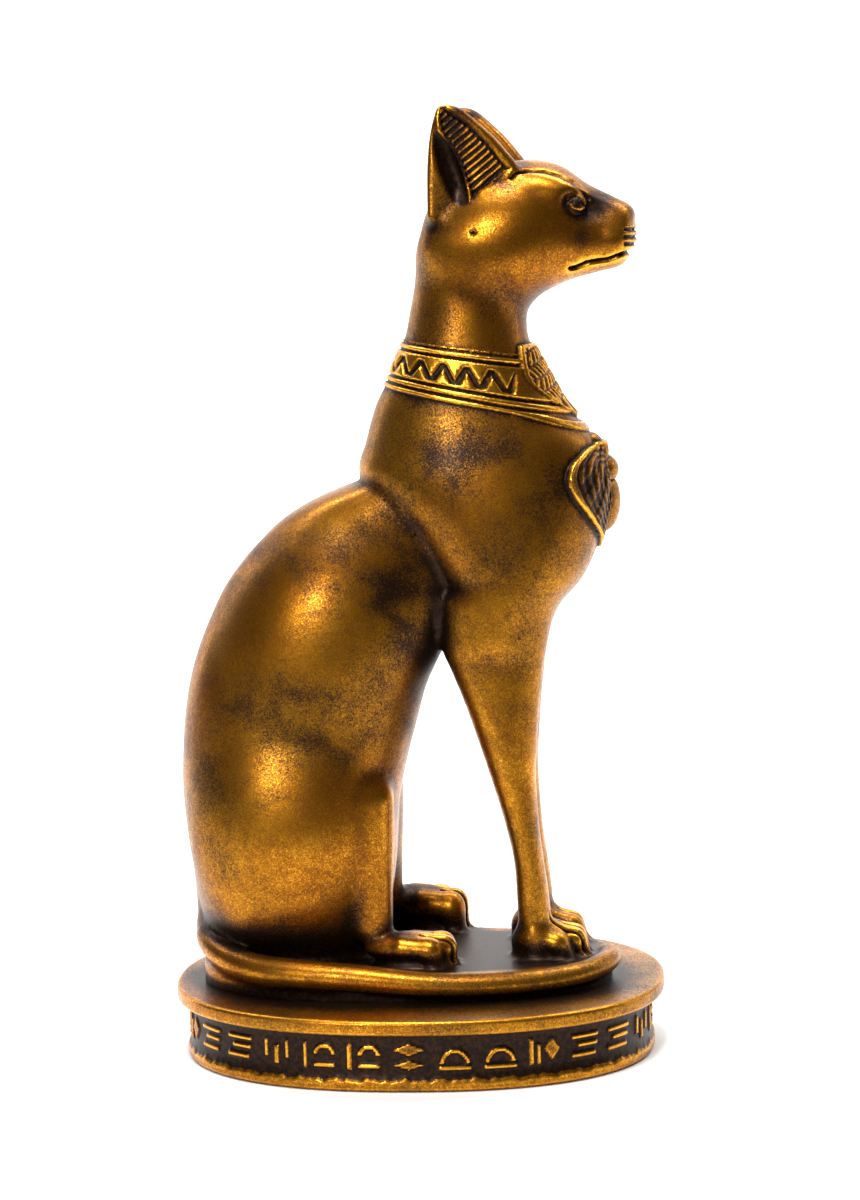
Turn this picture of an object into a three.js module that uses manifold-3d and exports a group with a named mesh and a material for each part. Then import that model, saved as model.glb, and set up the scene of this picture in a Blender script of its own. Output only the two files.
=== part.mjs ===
import * as THREE from "three";
import { mergeVertices } from "three/addons/utils/BufferGeometryUtils.js";
import Module from "manifold-3d";

// Sizes of the whole statue in millimetres
const plinthLength = 104.6;
const plinthWidth = 80;
const plinthHeight = 15.5;
const catHeight = 178.9;

// Plinth: an oval drum with a rim, a hollowed band and a foot lip
const plinthSquareness = 2.3;
const rimHeight = 3.3;
const rimRound = 0.9;
const rimOverhang = 1.3;
const bandHollow = 1.7;
const lipHeight = 2.6;
const lipInset = 2.1;
const footChamfer = 1.1;
const plinthSides = 80;

// Raised slab on the plinth, with the tail lying along its near edge
const slabLength = 87.4;
const slabWidth = 45.2;
const slabHeight = 5.4;
const slabShiftX = -2.4;
const slabShiftY = -2.3;
const slabSquareness = 2.3;
const tailThickness = 5.5;
const tailInset = 0.7;
const tailDrop = 2.2;
const rootInset = 1.3;
const tailStart = 3;
const tailEnd = -1.5;

// Cat: where it stands, how far the head turns and how fine the carving is
const catShift = 1.5;
const headTurn = THREE.MathUtils.degToRad(-6);
const headPivot = 14;
const collarRelief = 0.75;
const plateRelief = 0.95;
const pendantRelief = 1.2;
const slabFillet = 2.2;
const rootDepth = 1.5;
const gridStep = 1.5;
const fineLevels = 1.15;
const plainLevels = 2.4;
const feetZone = 16;
const neckZone = 128;
const figureTriangles = 8000;

// A smooth curve through pairs of station and value
function curve(pairs) {
  const count = pairs.length;
  const at = pairs.map((pair) => pair[0]);
  const value = pairs.map((pair) => pair[1]);
  const step = at.slice(1).map((station, index) => station - at[index]);
  const rise = step.map((width, index) => (value[index + 1] - value[index]) / width);
  const slope = at.map((station, index) => {
    if (index === 0) return rise[0];
    if (index === count - 1) return rise[count - 2];
    const before = step[index - 1];
    const after = step[index];
    return (rise[index - 1] * after + rise[index] * before) / (before + after);
  });
  return (place) => {
    if (place <= at[0]) return value[0];
    if (place >= at[count - 1]) return value[count - 1];
    let index = 0;
    while (place >= at[index + 1]) index += 1;
    const width = step[index];
    const share = (place - at[index]) / width;
    const rest = 1 - share;
    return (
      (1 + 2 * share) * rest * rest * value[index]
      + share * rest * rest * width * slope[index]
      + share * share * (3 - 2 * share) * value[index + 1]
      - share * share * rest * width * slope[index + 1]
    );
  };
}

function clamp(value, low, high) {
  return Math.min(Math.max(value, low), high);
}

function ease(from, to, value) {
  const share = clamp((value - from) / (to - from), 0, 1);
  return share * share * (3 - 2 * share);
}

function within(value, low, high, soft) {
  return ease(low - soft, low + soft, value) * (1 - ease(high - soft, high + soft, value));
}

// Joining and cutting of forms, with the corner between them rounded
function join(first, second, round) {
  const near = Math.max(round - Math.abs(first - second), 0) / round;
  return Math.min(first, second) - near * near * round * 0.25;
}

function limit(first, second, round) {
  return -join(-first, -second, round);
}

// Distance to an oval section with its centre at zero
function oval(across, along, halfAcross, halfAlong, power) {
  const first = Math.abs(across) / halfAcross;
  const second = Math.abs(along) / halfAlong;
  const sum = Math.pow(first, power) + Math.pow(second, power);
  const reach = Math.pow(sum, 1 / power);
  const slopeFirst = Math.pow(first, power - 1) / halfAcross;
  const slopeSecond = Math.pow(second, power - 1) / halfAlong;
  const slope = Math.hypot(slopeFirst, slopeSecond) * Math.pow(Math.max(sum, 1e-9), 1 / power - 1);
  return (reach - 1) / (slope + 1e-9);
}

// Distance to an egg shape leaning forward by the given angle
function egg(x, y, z, centre, radius, lean = 0) {
  const cos = Math.cos(lean);
  const sin = Math.sin(lean);
  const dx = x - centre[0];
  const dz = z - centre[2];
  const px = cos * dx - sin * dz;
  const py = y - centre[1];
  const pz = sin * dx + cos * dz;
  const reach = Math.hypot(px / radius[0], py / radius[1], pz / radius[2]);
  const slope = Math.hypot(px / radius[0] ** 2, py / radius[1] ** 2, pz / radius[2] ** 2);
  return reach * (reach - 1) / (slope + 1e-9);
}

// Distance to a round finger that tapers from one end to the other
function finger(x, y, z, from, to, radiusFrom, radiusTo) {
  const ax = to[0] - from[0];
  const ay = to[1] - from[1];
  const az = to[2] - from[2];
  const length = ax * ax + ay * ay + az * az;
  const dot = (x - from[0]) * ax + (y - from[1]) * ay + (z - from[2]) * az;
  const share = clamp(dot / length, 0, 1);
  const dx = x - from[0] - share * ax;
  const dy = y - from[1] - share * ay;
  const dz = z - from[2] - share * az;
  return Math.hypot(dx, dy, dz) - radiusFrom - (radiusTo - radiusFrom) * share;
}

// Side profiles of the cat as drawn, with heights from the plinth up and places along it
const rearBack = curve([
  [0.5, -43], [6, -44.2], [11.9, -46], [18, -47.4], [25.1, -48.4], [34.5, -49.6], [42.5, -50.1],
  [50.5, -49.8], [60, -48.8], [68.7, -46.8], [77.2, -43.5], [85.8, -39], [94.2, -31.9], [99, -26.6],
  [102.6, -20.5], [105.6, -13.6], [108.5, -6],
]);
const rearFront = curve([
  [0.5, -7], [6.5, -7], [15.5, -6], [24.5, -4.8], [37.5, -3.8], [46.5, -1.9], [55.2, 0.5], [63.5, 3],
  [68.5, 5.4], [74.5, 8.4], [84.5, 12], [96.5, 12], [108.5, 10],
]);
const rearHalf = curve([
  [0.5, 14.5], [5.5, 14.8], [9, 16.2], [13, 18.8], [17, 20.6], [21, 21.5], [26.5, 21.8], [40.5, 21.5],
  [54.5, 20.2], [68.5, 18.8], [82.5, 16.5], [94.5, 14], [102.5, 12], [108.5, 10],
]);
const chestBack = curve([
  [68.5, 7.2], [72.5, 7.6], [78.5, 7.4], [83.8, 6.2], [89.5, 2.5], [96.2, -2.5], [102.5, -8],
  [108.5, -10.6], [115.1, -8.9], [123.5, -6.2], [127.6, -4], [131.8, -2.2], [136, -0.4], [142.2, 1],
  [148.4, 2.2], [156.7, 3.3], [162.5, 4.6],
]);
const chestFront = curve([
  [68.5, 27.4], [72.5, 28], [76.5, 29.3], [80.5, 32], [84.7, 35.8], [88.9, 38.2], [93.1, 39.8],
  [97.3, 41], [101.5, 41.8], [105.8, 41.9], [110, 41], [114.2, 39.5], [118.5, 36], [122.8, 32.6],
  [126.5, 30.6], [131.2, 28.1], [135.5, 25.9], [139.5, 25.4], [144.5, 26], [150.5, 27], [162.5, 28],
]);
const chestHalf = curve([
  [68.5, 14], [74.5, 15.2], [84.5, 17], [96.5, 18], [108.5, 17.6], [118.5, 15.6], [126.5, 13.6],
  [134.5, 12.2], [142.5, 11.6], [150.5, 11.8], [162.5, 12],
]);
const legBackLine = [
  [5.4, 22], [11.2, 21.7], [17.7, 21.4], [26.3, 20.8], [34.9, 18.9], [43.5, 16.4], [52.1, 13.7],
  [60.7, 10.8], [67.1, 8.3], [70.5, 7], [79.5, 6],
];
const legBack = curve(legBackLine);
const legFront = curve([
  [5.4, 28.4], [15.7, 28.4], [20.1, 28], [24.5, 27.4], [33.2, 26.4], [39.7, 26], [46.2, 25.9],
  [50.5, 26.2], [59.2, 26.9], [63.5, 27.4], [68.5, 28], [79.5, 29.6],
]);
const legHalf = curve([
  [2.5, 4.9], [14.5, 4.8], [29.5, 5], [44.5, 5.5], [56.5, 6.2], [68.5, 7], [79.5, 8],
]);
const legApart = curve([[2.5, 7.9], [29.5, 7.9], [68.5, 7.4], [79.5, 7]]);

// Profiles of the head along its length
const headTop = curve([
  [2, 160.5], [8, 166.9], [14, 170.3], [22, 172.4], [29.8, 172.5], [33.5, 171.3], [38.3, 167.9],
  [44.8, 164.5], [48, 162.9], [50, 161.7],
]);
const headUnder = curve([
  [2, 150.5], [10, 145.5], [20, 143], [26.4, 144.1], [30, 145.7], [34, 147.5], [40.9, 149.4],
  [45.5, 150.6], [48, 152], [50, 154],
]);
const headHalf = curve([
  [2, 9], [8, 12], [14, 13.7], [20, 14.4], [26, 13.7], [31, 11.9], [35, 9.9], [38, 8.5], [41.5, 7.4],
  [45, 6.6], [47.6, 5.6], [49, 4.6], [50, 3.6],
]);
const earFrontLine = [
  [156.5, 25], [164.5, 25.4], [171.5, 25.4], [174.5, 23.2], [178, 20.2], [181, 17], [183.3, 14.2],
  [184.3, 12.6],
];
const earFront = curve(earFrontLine);

// Levels of the drawing's floor and ear tips, and how far the drawing reaches from its middle
const drawnFloor = legBackLine[0][0];
const drawnTip = earFrontLine[earFrontLine.length - 1][0];
const drawnLength = 51;
const drawnWidth = 25;
const scale = catHeight / (drawnTip - drawnFloor);

// Tail by share of the slab's half length: its rise in thicknesses and how much thicker it is there
const tailRise = curve([
  [-1.05, 1.3], [-0.88, 0.7], [-0.75, 0.5], [-0.5, 0.42], [-0.28, 0.36], [0.19, 0.04], [0.5, 0],
  [0.81, 0.05], [1, 0.18],
]);
const tailGrowth = curve([[-1, 1.25], [-0.8, 1.24], [-0.5, 1.12], [0, 1], [0.6, 0.94], [1, 0.88]]);

// Half widths of the pendant and of the collar plate, seen from the front
const pendantHalf = curve([
  [91.5, 0.5], [93, 2.5], [96.5, 8], [101.5, 12.4], [104.5, 13.5], [108, 13.3], [111, 11.2],
  [113, 7.6], [114, 3], [117.5, 1],
]);
const plateHalf = curve([
  [119, 0.5], [120.5, 4.5], [123.5, 8], [126.5, 9.8], [130.5, 9.2], [133.5, 8], [135.5, 7],
]);

// Seated back and haunches, with the fold between thigh and shin, the ankle and the tail's root
function hindBody(x, y, z) {
  const back = rearBack(z);
  const front = rearFront(z);
  const side = Math.abs(y);
  const thigh = egg(x, side, z, [-18.5, 8.6, 73], [19, 12, 25.5], 0.42);
  const shin = egg(x, side, z, [-26, 10.2, 33], [20.3, 12.9, 22.6], -0.03);
  const ankle = finger(x, side, z, [-8.7, 13.2, 40], [-8.8, 13.6, 13.2], 4.6, 4.1);
  const tailRoot = finger(x, y, z, [-44.3, 0, 23], [-44.5, -1, 8], 3.3, 3.5);
  let body = oval(x - (back + front) / 2, y, (front - back) / 2, rearHalf(z), 2.25);
  body = join(body, thigh, 4);
  body = join(body, shin, 4);
  body = join(body, ankle, 3);
  body = join(body, tailRoot, 2.5);
  return limit(body, z - 107, 3);
}

// Chest, shoulders and neck
function chest(x, y, z) {
  const back = chestBack(z);
  const front = chestFront(z);
  let body = oval(x - (back + front) / 2, y, (front - back) / 2, chestHalf(z), 2.15);
  body = limit(body, 70.5 - z, 4);
  return limit(body, z - 155.5, 3);
}

function forelegs(x, y, z) {
  const back = legBack(z);
  const front = legFront(z);
  const side = Math.abs(y) - legApart(z);
  let leg = oval(x - (back + front) / 2, side, (front - back) / 2, legHalf(z), 2.2);
  leg = limit(leg, z - 82.5, 2);
  return limit(leg, drawnFloor - 1 - z, 1);
}

// Head with cheeks, muzzle, brow and eyes
function head(x, y, z) {
  const top = headTop(x);
  const under = headUnder(x);
  const side = Math.abs(y);
  let form = oval(z - (top + under) / 2, y, (top - under) / 2, headHalf(x), 2.1);
  form = limit(form, x - 48.5 + (160.5 - z) * 0.13, 2.4);
  form = limit(form, 4.4 - x, 5);
  form = join(form, egg(x, side, z, [44.4, 3.1, 156.4], [4, 3.5, 3.4]), 1.6);
  form = join(form, egg(x, side, z, [32.5, 7.2, 165.9], [7.5, 3.4, 3], 0.3), 3);
  form = limit(form, -egg(x, side, z, [40, 9.4, 162.9], [5, 3.2, 2.6], 0.35), 2.5);
  return join(form, egg(x, side, z, [37, 7.5, 163.5], [2.3, 1.9, 1.9]), 0.8);
}

// Upright ears, open to the side, with a deep hollow along the rear rim
function ears(x, y, z) {
  const side = Math.abs(y);
  const rise = clamp((z - 160.5) / 23.8, 0, 1);
  const rear = 7 + 2.6 * rise ** 4;
  const front = earFront(z);
  const across = clamp((x - rear) / Math.max(front - rear, 0.5), 0, 1);
  const face = 13.2 - 0.9 * rise - (4.2 * (1 - rise) + 0.6) * across;
  const round = Math.sqrt(Math.max(4 * across * (1 - across), 0));
  const thick = (2.2 + 3.8 * (1 - rise)) * (0.5 + 0.5 * round) + 1.2;
  let ear = limit(side - face, face - thick - side, 1) * 0.93;
  ear = limit(ear, Math.max(rear - x, (x - front) * 0.78), 1.2);
  ear = limit(ear, z - drawnTip, 1.2);
  ear = limit(ear, 160 - z, 2);
  const hollow = egg(x, side - face, z, [12.2, 0.3, 170.5], [2.3, 2.5, 9], -0.33);
  return limit(ear, -hollow, 0.8);
}

// Toes: how far each lies from the middle of the foot and how far forward it reaches
const hindToes = [[-3.2, 8.8], [0, 9.3], [3.2, 6.6]];
const foreToes = [[-3.3, 37], [0, 37], [3.3, 33.6]];

// A toe runs forward from its root and bends down at the knuckle to its tip
function toe(x, y, z, root, knuckle, tip, radius) {
  const upper = finger(x, y, z, root, knuckle, radius, radius);
  return join(upper, finger(x, y, z, knuckle, tip, radius, radius * 0.85), radius * 0.5);
}

// The far hind foot is the larger one and lies a little further out
function hindFeet(x, y, z) {
  const far = y > 0;
  const along = far ? (x - 0.9) / 1.1 + 1 : x;
  const side = far ? (y - 17.6) / 1.1 : -y - 15.8;
  const level = far ? (z - drawnFloor) / 1.38 + drawnFloor : z;
  let foot = egg(along, side, level, [-1.5, 0, 9.1], [9, 5, 3.4]);
  foot = join(foot, egg(along, side, level, [0.2, 0, 6.4], [7.8, 4.9, 3.6]), 1);
  for (const [place, reach] of hindToes) {
    const root = [reach - 9, place * 0.9, 9.6];
    const knuckle = [reach - 3.2, place, 9];
    const tip = [reach - 2.5, place, 6.5];
    foot = join(foot, toe(along, side, level, root, knuckle, tip, 2.5), 0.6);
  }
  return limit(far ? foot * 1.1 : foot, drawnFloor - 1 - z, 0.5);
}

function forePaws(x, y, z) {
  const far = y > 0;
  const side = (far ? y + 0.5 : -y) - 7.9;
  const along = far ? x + 0.7 : x;
  let paw = egg(along, side, z, [26.4, 0, 8.2], [6.4, 5.4, 5.2]);
  for (const [place, reach] of foreToes) {
    const root = [reach - 8.5, place * 0.85, 10.2];
    const knuckle = [reach - 3.9, place, 8.6];
    const tip = [reach - 2.6, place, 6.5];
    paw = join(paw, toe(along, side, z, root, knuckle, tip, 2.5), 0.6);
  }
  return limit(paw, drawnFloor - 1 - z, 0.5);
}

// Collar, collar plate and pendant stand proud of the neck and chest
function jewelHeight(x, y, z) {
  const collarTop = 135.9 - 0.138 * x;
  const collarFoot = 128.1 - 0.19 * Math.min(x, 26);
  const collar = collarRelief / scale * within(z, collarFoot, collarTop, 0.7);
  if (x < 14) return collar;
  const side = Math.abs(y);
  const plate = ease(-0.7, 0.7, plateHalf(z) - side) * within(z, 119.3, 134.5, 0.7);
  const pendant = ease(-0.7, 0.7, pendantHalf(z) - side) * within(z, 91.9, 113.9, 0.7);
  return Math.max(collar, plateRelief / scale * plate, pendantRelief / scale * pendant);
}

function scarab(x, y, z) {
  const side = Math.abs(y);
  const wingCase = egg(x, y, z, [40.5, 0, 101.5], [3.1, 4, 5.8]);
  const shoulder = egg(x, y, z, [40.4, 0, 108], [2.9, 3.6, 2.6]);
  const claws = egg(x, side, z, [38.8, 2.2, 112.5], [2.4, 1.9, 3.3], -0.3);
  return Math.min(wingCase, shoulder, claws);
}

function cat(x, y, z) {
  const cos = Math.cos(headTurn);
  const sin = Math.sin(headTurn);
  const hx = headPivot + cos * (x - headPivot) + sin * y;
  const hy = cos * y - sin * (x - headPivot);
  const torso = join(chest(x, y, z) - jewelHeight(x, y, z), scarab(x, y, z), 0.6);
  let form = join(torso, forelegs(x, y, z), 3.5);
  form = join(form, hindBody(x, y, z), 2);
  form = join(form, join(head(hx, hy, z), ears(hx, hy, z), 1.2), 4);
  form = join(form, hindFeet(x, y, z), 1.6);
  return join(form, forePaws(x, y, z), 1.6);
}

// Slab under the cat, and the tail lying on its near edge from the rump to the paws
function slabAndTail(x, y, z) {
  const inward = oval(x - slabShiftX, y - slabShiftY, slabLength / 2, slabWidth / 2, slabSquareness);
  const slab = limit(inward, z - slabHeight, 1);
  const share = (x - slabShiftX) / (slabLength / 2);
  const radius = tailThickness / 2 * tailGrowth(share);
  const level = slabHeight - tailDrop + tailThickness * tailRise(share);
  const inset = tailInset + rootInset * ease(0.55, 1, -share);
  const roll = Math.hypot((inward + inset) * 0.92, z - level) - radius;
  const fade = Math.max(0, y - (x > slabShiftX ? tailEnd : tailStart)) * 1.1;
  return Math.min(slab, roll + fade);
}

// The whole figure above the plinth, with a root that reaches down into it
function figure(x, y, z) {
  const level = z - plinthHeight;
  const drawnLevel = (level - slabHeight) / scale + drawnFloor;
  const statue = cat(x / scale, (y - catShift) / scale, drawnLevel) * scale;
  return Math.max(join(statue, slabAndTail(x, y, level), slabFillet), -rootDepth - level);
}

// Six wedges that fill a grid box from its low corner to its high one
const wedges = [[0, 1, 3, 7], [0, 3, 2, 7], [0, 2, 6, 7], [0, 6, 4, 7], [0, 4, 5, 7], [0, 5, 1, 7]];

// Order of a wedge's corners for each set that lies inside, with the inner ones first
const wedgeOrder = {
  1: [0, 1, 2, 3], 2: [1, 0, 3, 2], 4: [2, 3, 0, 1], 8: [3, 2, 1, 0],
  3: [0, 1, 2, 3], 5: [0, 2, 3, 1], 9: [0, 3, 1, 2], 6: [1, 2, 0, 3], 10: [1, 3, 2, 0], 12: [2, 3, 0, 1],
  14: [0, 1, 2, 3], 13: [1, 0, 3, 2], 11: [2, 3, 0, 1], 7: [3, 2, 1, 0],
};

// Skin of a form: each wedge that the surface crosses gives one or two triangles
function skin(form, stations) {
  const size = stations.map((line) => line.length);
  const stride = [1, size[0], size[0] * size[1]];
  const field = new Float32Array(size[0] * size[1] * size[2]);
  const placeOf = (slot) => {
    const k = Math.floor(slot / stride[2]);
    const j = Math.floor((slot - k * stride[2]) / stride[1]);
    const i = slot - k * stride[2] - j * stride[1];
    return [stations[0][i], stations[1][j], stations[2][k]];
  };
  for (let slot = 0; slot < field.length; slot += 1) field[slot] = form(...placeOf(slot));
  const reach = [0, 1, 2, 3, 4, 5, 6, 7].map((bits) => (
    (bits & 1) * stride[0] + ((bits >> 1) & 1) * stride[1] + (bits >> 2) * stride[2]
  ));
  const points = [];
  const faces = [];
  const known = new Map();
  const crossing = (home, first, second) => {
    const near = home + reach[Math.min(first, second)];
    const far = home + reach[Math.max(first, second)];
    const key = near * 8 + (first ^ second);
    if (!known.has(key)) {
      const share = clamp(field[near] / (field[near] - field[far]), 0.08, 0.92);
      const from = placeOf(near);
      const to = placeOf(far);
      known.set(key, points.length);
      points.push(from.map((value, axis) => value + (to[axis] - value) * share));
    }
    return known.get(key);
  };
  for (let k = 0; k < size[2] - 1; k += 1) {
    for (let j = 0; j < size[1] - 1; j += 1) {
      for (let i = 0; i < size[0] - 1; i += 1) {
        const home = i + j * stride[1] + k * stride[2];
        const inner = reach.map((offset) => field[home + offset] < 0);
        if (inner.every((flag) => flag === inner[0])) continue;
        for (const wedge of wedges) {
          let bits = 0;
          wedge.forEach((corner, index) => { if (inner[corner]) bits |= 1 << index; });
          if (bits === 0 || bits === 15) continue;
          const [a, b, c, d] = wedgeOrder[bits].map((index) => wedge[index]);
          const cut = (first, second) => crossing(home, first, second);
          if ([1, 2, 4, 8].includes(bits)) faces.push([cut(a, b), cut(a, c), cut(a, d)]);
          else if ([7, 11, 13, 14].includes(bits)) faces.push([cut(a, b), cut(a, d), cut(a, c)]);
          else {
            faces.push([cut(a, c), cut(a, d), cut(b, d)], [cut(a, c), cut(b, d), cut(b, c)]);
          }
        }
      }
    }
  }
  return { points, faces };
}

function faceNormal(a, b, c) {
  const ux = b[0] - a[0];
  const uy = b[1] - a[1];
  const uz = b[2] - a[2];
  const vx = c[0] - a[0];
  const vy = c[1] - a[1];
  const vz = c[2] - a[2];
  return [uy * vz - uz * vy, uz * vx - ux * vz, ux * vy - uy * vx];
}

// Draw points onto the surface, along its steepest direction
function settle(form, points, reach) {
  const small = 0.05;
  for (const point of points) {
    const [x, y, z] = point;
    const value = form(x, y, z);
    const gx = (form(x + small, y, z) - form(x - small, y, z)) / (2 * small);
    const gy = (form(x, y + small, z) - form(x, y - small, z)) / (2 * small);
    const gz = (form(x, y, z + small) - form(x, y, z - small)) / (2 * small);
    const steep = Math.max(gx * gx + gy * gy + gz * gz, 0.1);
    const length = Math.abs(value) / Math.sqrt(steep);
    const move = (value / steep) * Math.min(1, reach / Math.max(length, 1e-9));
    point[0] -= gx * move;
    point[1] -= gy * move;
    point[2] -= gz * move;
  }
}

// Squared distance to the planes round a point, kept as ten sums
function planeSums(points, faces) {
  const sums = points.map(() => new Float64Array(10));
  for (const face of faces) {
    const normal = faceNormal(...face.map((index) => points[index]));
    const area = Math.hypot(...normal) || 1e-12;
    const [a, b, c] = normal.map((part) => part / area);
    const first = points[face[0]];
    const d = -(a * first[0] + b * first[1] + c * first[2]);
    const terms = [a * a, a * b, a * c, a * d, b * b, b * c, b * d, c * c, c * d, d * d];
    for (const index of face) {
      for (let term = 0; term < 10; term += 1) sums[index][term] += terms[term] * area;
    }
  }
  return sums;
}

function planeCost(sum, point) {
  const [x, y, z] = point;
  return (
    sum[0] * x * x + 2 * sum[1] * x * y + 2 * sum[2] * x * z + 2 * sum[3] * x
    + sum[4] * y * y + 2 * sum[5] * y * z + 2 * sum[6] * y
    + sum[7] * z * z + 2 * sum[8] * z + sum[9]
  );
}

// Cheapest place for a merged point among the two ends, the middle and the quarters
function mergePlace(sum, from, to) {
  let best = from;
  let cost = Infinity;
  for (const share of [0, 0.25, 0.5, 0.75, 1]) {
    const place = from.map((value, axis) => value + (to[axis] - value) * share);
    const price = planeCost(sum, place);
    if (price < cost) {
      best = place;
      cost = price;
    }
  }
  const length = Math.hypot(...from.map((value, axis) => value - to[axis]));
  return { place: best, cost: cost + 1e-3 * length ** 3 };
}

// Fewer triangles: short and flat edges are merged first, and the skin stays closed
function simplify(points, faces, wanted) {
  const sums = planeSums(points, faces);
  let live = faces;
  while (live.length > wanted) {
    const around = points.map(() => []);
    live.forEach((face, index) => face.forEach((point) => around[point].push(index)));
    const edges = [];
    for (const face of live) {
      for (let side = 0; side < 3; side += 1) {
        const from = face[side];
        const to = face[(side + 1) % 3];
        if (from > to) continue;
        const sum = sums[from].map((value, term) => value + sums[to][term]);
        edges.push({ from, to, sum, ...mergePlace(sum, points[from], points[to]) });
      }
    }
    edges.sort((first, second) => first.cost - second.cost);
    const dear = edges[Math.floor(edges.length * 0.25)].cost;
    const busy = new Uint8Array(points.length);
    const gone = new Uint8Array(live.length);
    let left = live.length;
    for (const edge of edges) {
      if (edge.cost > dear || left <= wanted) break;
      if (busy[edge.from] || busy[edge.to]) continue;
      const shared = around[edge.from].filter((index) => live[index].includes(edge.to));
      const ring = new Set(around[edge.from].flatMap((index) => live[index]));
      const other = new Set(around[edge.to].flatMap((index) => live[index]));
      const common = [...ring].filter((point) => other.has(point));
      if (common.length !== 4 || shared.length !== 2) continue;
      const moved = [...around[edge.from], ...around[edge.to]].filter((index) => !shared.includes(index));
      const turned = moved.some((index) => {
        const before = live[index].map((point) => points[point]);
        const after = live[index].map((point) => (
          point === edge.from || point === edge.to ? edge.place : points[point]
        ));
        const old = faceNormal(...before);
        const fresh = faceNormal(...after);
        const dot = old[0] * fresh[0] + old[1] * fresh[1] + old[2] * fresh[2];
        return dot < 0.3 * Math.hypot(...old) * Math.hypot(...fresh) || Math.hypot(...fresh) < 1e-3;
      });
      if (turned) continue;
      ring.forEach((point) => { busy[point] = 1; });
      other.forEach((point) => { busy[point] = 1; });
      shared.forEach((index) => { gone[index] = 1; });
      moved.forEach((index) => {
        live[index] = live[index].map((point) => (point === edge.to ? edge.from : point));
      });
      points[edge.from] = edge.place;
      sums[edge.from] = edge.sum;
      left -= 2;
    }
    const kept = live.filter((face, index) => !gone[index]);
    if (kept.length === live.length) break;
    live = kept;
  }
  return live;
}

function geometryOf(points, faces) {
  const geometry = new THREE.BufferGeometry();
  geometry.setAttribute("position", new THREE.Float32BufferAttribute(points.flat(), 3));
  geometry.setIndex(faces.flat());
  return geometry;
}

// Grid stations from one end to the other, each a step past the last
function stationsBetween(low, high, stepAt) {
  const line = [low];
  while (line[line.length - 1] < high) {
    const last = line[line.length - 1];
    line.push(last + stepAt(last));
  }
  return line;
}

function figureSkin() {
  const catFloor = plinthHeight + slabHeight;
  const slabReach = slabLength / 2 + Math.abs(slabShiftX) + tailThickness;
  const slabSide = slabWidth / 2 + Math.abs(slabShiftY) + tailThickness;
  const reach = Math.max(drawnLength * scale, slabReach) + 2 * gridStep;
  const half = Math.max(drawnWidth * scale + catShift, slabSide) + 2 * gridStep;
  const floor = plinthHeight - rootDepth - 2 * fineLevels;
  const levelStep = (level) => {
    const rise = (level - catFloor) / scale + drawnFloor;
    return rise < feetZone || rise > neckZone ? fineLevels : plainLevels;
  };
  const stations = [
    stationsBetween(-reach, reach, () => gridStep),
    stationsBetween(-half, half, () => gridStep),
    stationsBetween(floor, catFloor + catHeight + 3 * fineLevels, levelStep),
  ];
  const { points, faces } = skin(figure, stations);
  settle(figure, points, gridStep);
  const live = simplify(points, faces, figureTriangles);
  settle(figure, points, 0.12);
  return geometryOf(points, live);
}

// Outline of the plinth from the table up: how far each level lies inside the rim
function plinthProfile() {
  const rimFoot = plinthHeight - rimHeight;
  const bandMiddle = (lipHeight + rimFoot) / 2;
  return [
    [lipInset + footChamfer, 0],
    [lipInset, footChamfer],
    [lipInset, lipHeight],
    [rimOverhang + bandHollow * 0.75, lipHeight + 1],
    [rimOverhang + bandHollow, bandMiddle],
    [rimOverhang + bandHollow * 0.75, rimFoot - 0.8],
    [rimOverhang, rimFoot],
    [0, rimFoot + rimRound],
    [0, plinthHeight - rimRound],
    [rimRound, plinthHeight],
  ];
}

function ovalRing(inset, level) {
  const ring = [];
  for (let side = 0; side < plinthSides; side += 1) {
    const angle = (side / plinthSides) * Math.PI * 2;
    const cos = Math.cos(angle);
    const sin = Math.sin(angle);
    const x = (plinthLength / 2 - inset) * Math.sign(cos) * Math.abs(cos) ** (2 / plinthSquareness);
    const y = (plinthWidth / 2 - inset) * Math.sign(sin) * Math.abs(sin) ** (2 / plinthSquareness);
    ring.push([x, y, level]);
  }
  return ring;
}

function plinthSkin() {
  const profile = plinthProfile();
  const points = profile.flatMap(([inset, level]) => ovalRing(inset, level));
  const faces = [];
  for (let row = 0; row < profile.length - 1; row += 1) {
    for (let side = 0; side < plinthSides; side += 1) {
      const next = (side + 1) % plinthSides;
      const a = row * plinthSides + side;
      const b = row * plinthSides + next;
      faces.push([a, b, b + plinthSides], [a, b + plinthSides, a + plinthSides]);
    }
  }
  const top = (profile.length - 1) * plinthSides;
  for (let side = 1; side < plinthSides - 1; side += 1) {
    faces.push([0, side + 1, side], [top, top + side, top + side + 1]);
  }
  return geometryOf(points, faces);
}

// Joining into one casting
function solidOf(wasm, geometry) {
  const welded = mergeVertices(geometry, 1e-5);
  const mesh = new wasm.Mesh({
    numProp: 3,
    vertProperties: Float32Array.from(welded.getAttribute("position").array),
    triVerts: Uint32Array.from(welded.getIndex().array),
  });
  return new wasm.Manifold(mesh);
}

function meshOf(solid, name, material) {
  const mesh = solid.getMesh();
  const geometry = new THREE.BufferGeometry();
  geometry.setAttribute("position", new THREE.BufferAttribute(mesh.vertProperties, 3));
  geometry.setIndex(new THREE.BufferAttribute(mesh.triVerts, 1));
  geometry.computeVertexNormals();
  const body = new THREE.Mesh(geometry, material);
  body.name = name;
  return body;
}

const antiqueGold = new THREE.MeshStandardMaterial({
  color: 0x8a5a17,
  roughness: 0.38,
  metalness: 0.9,
});

const wasm = await Module();
wasm.setup();
const casting = solidOf(wasm, plinthSkin()).add(solidOf(wasm, figureSkin()));
const statue = new THREE.Group();
statue.name = "cat_statue";
statue.add(meshOf(casting, "cat_on_plinth", antiqueGold));

export default statue;
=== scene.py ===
import math

import bpy
import numpy as np
from mathutils import Matrix, Vector


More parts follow.
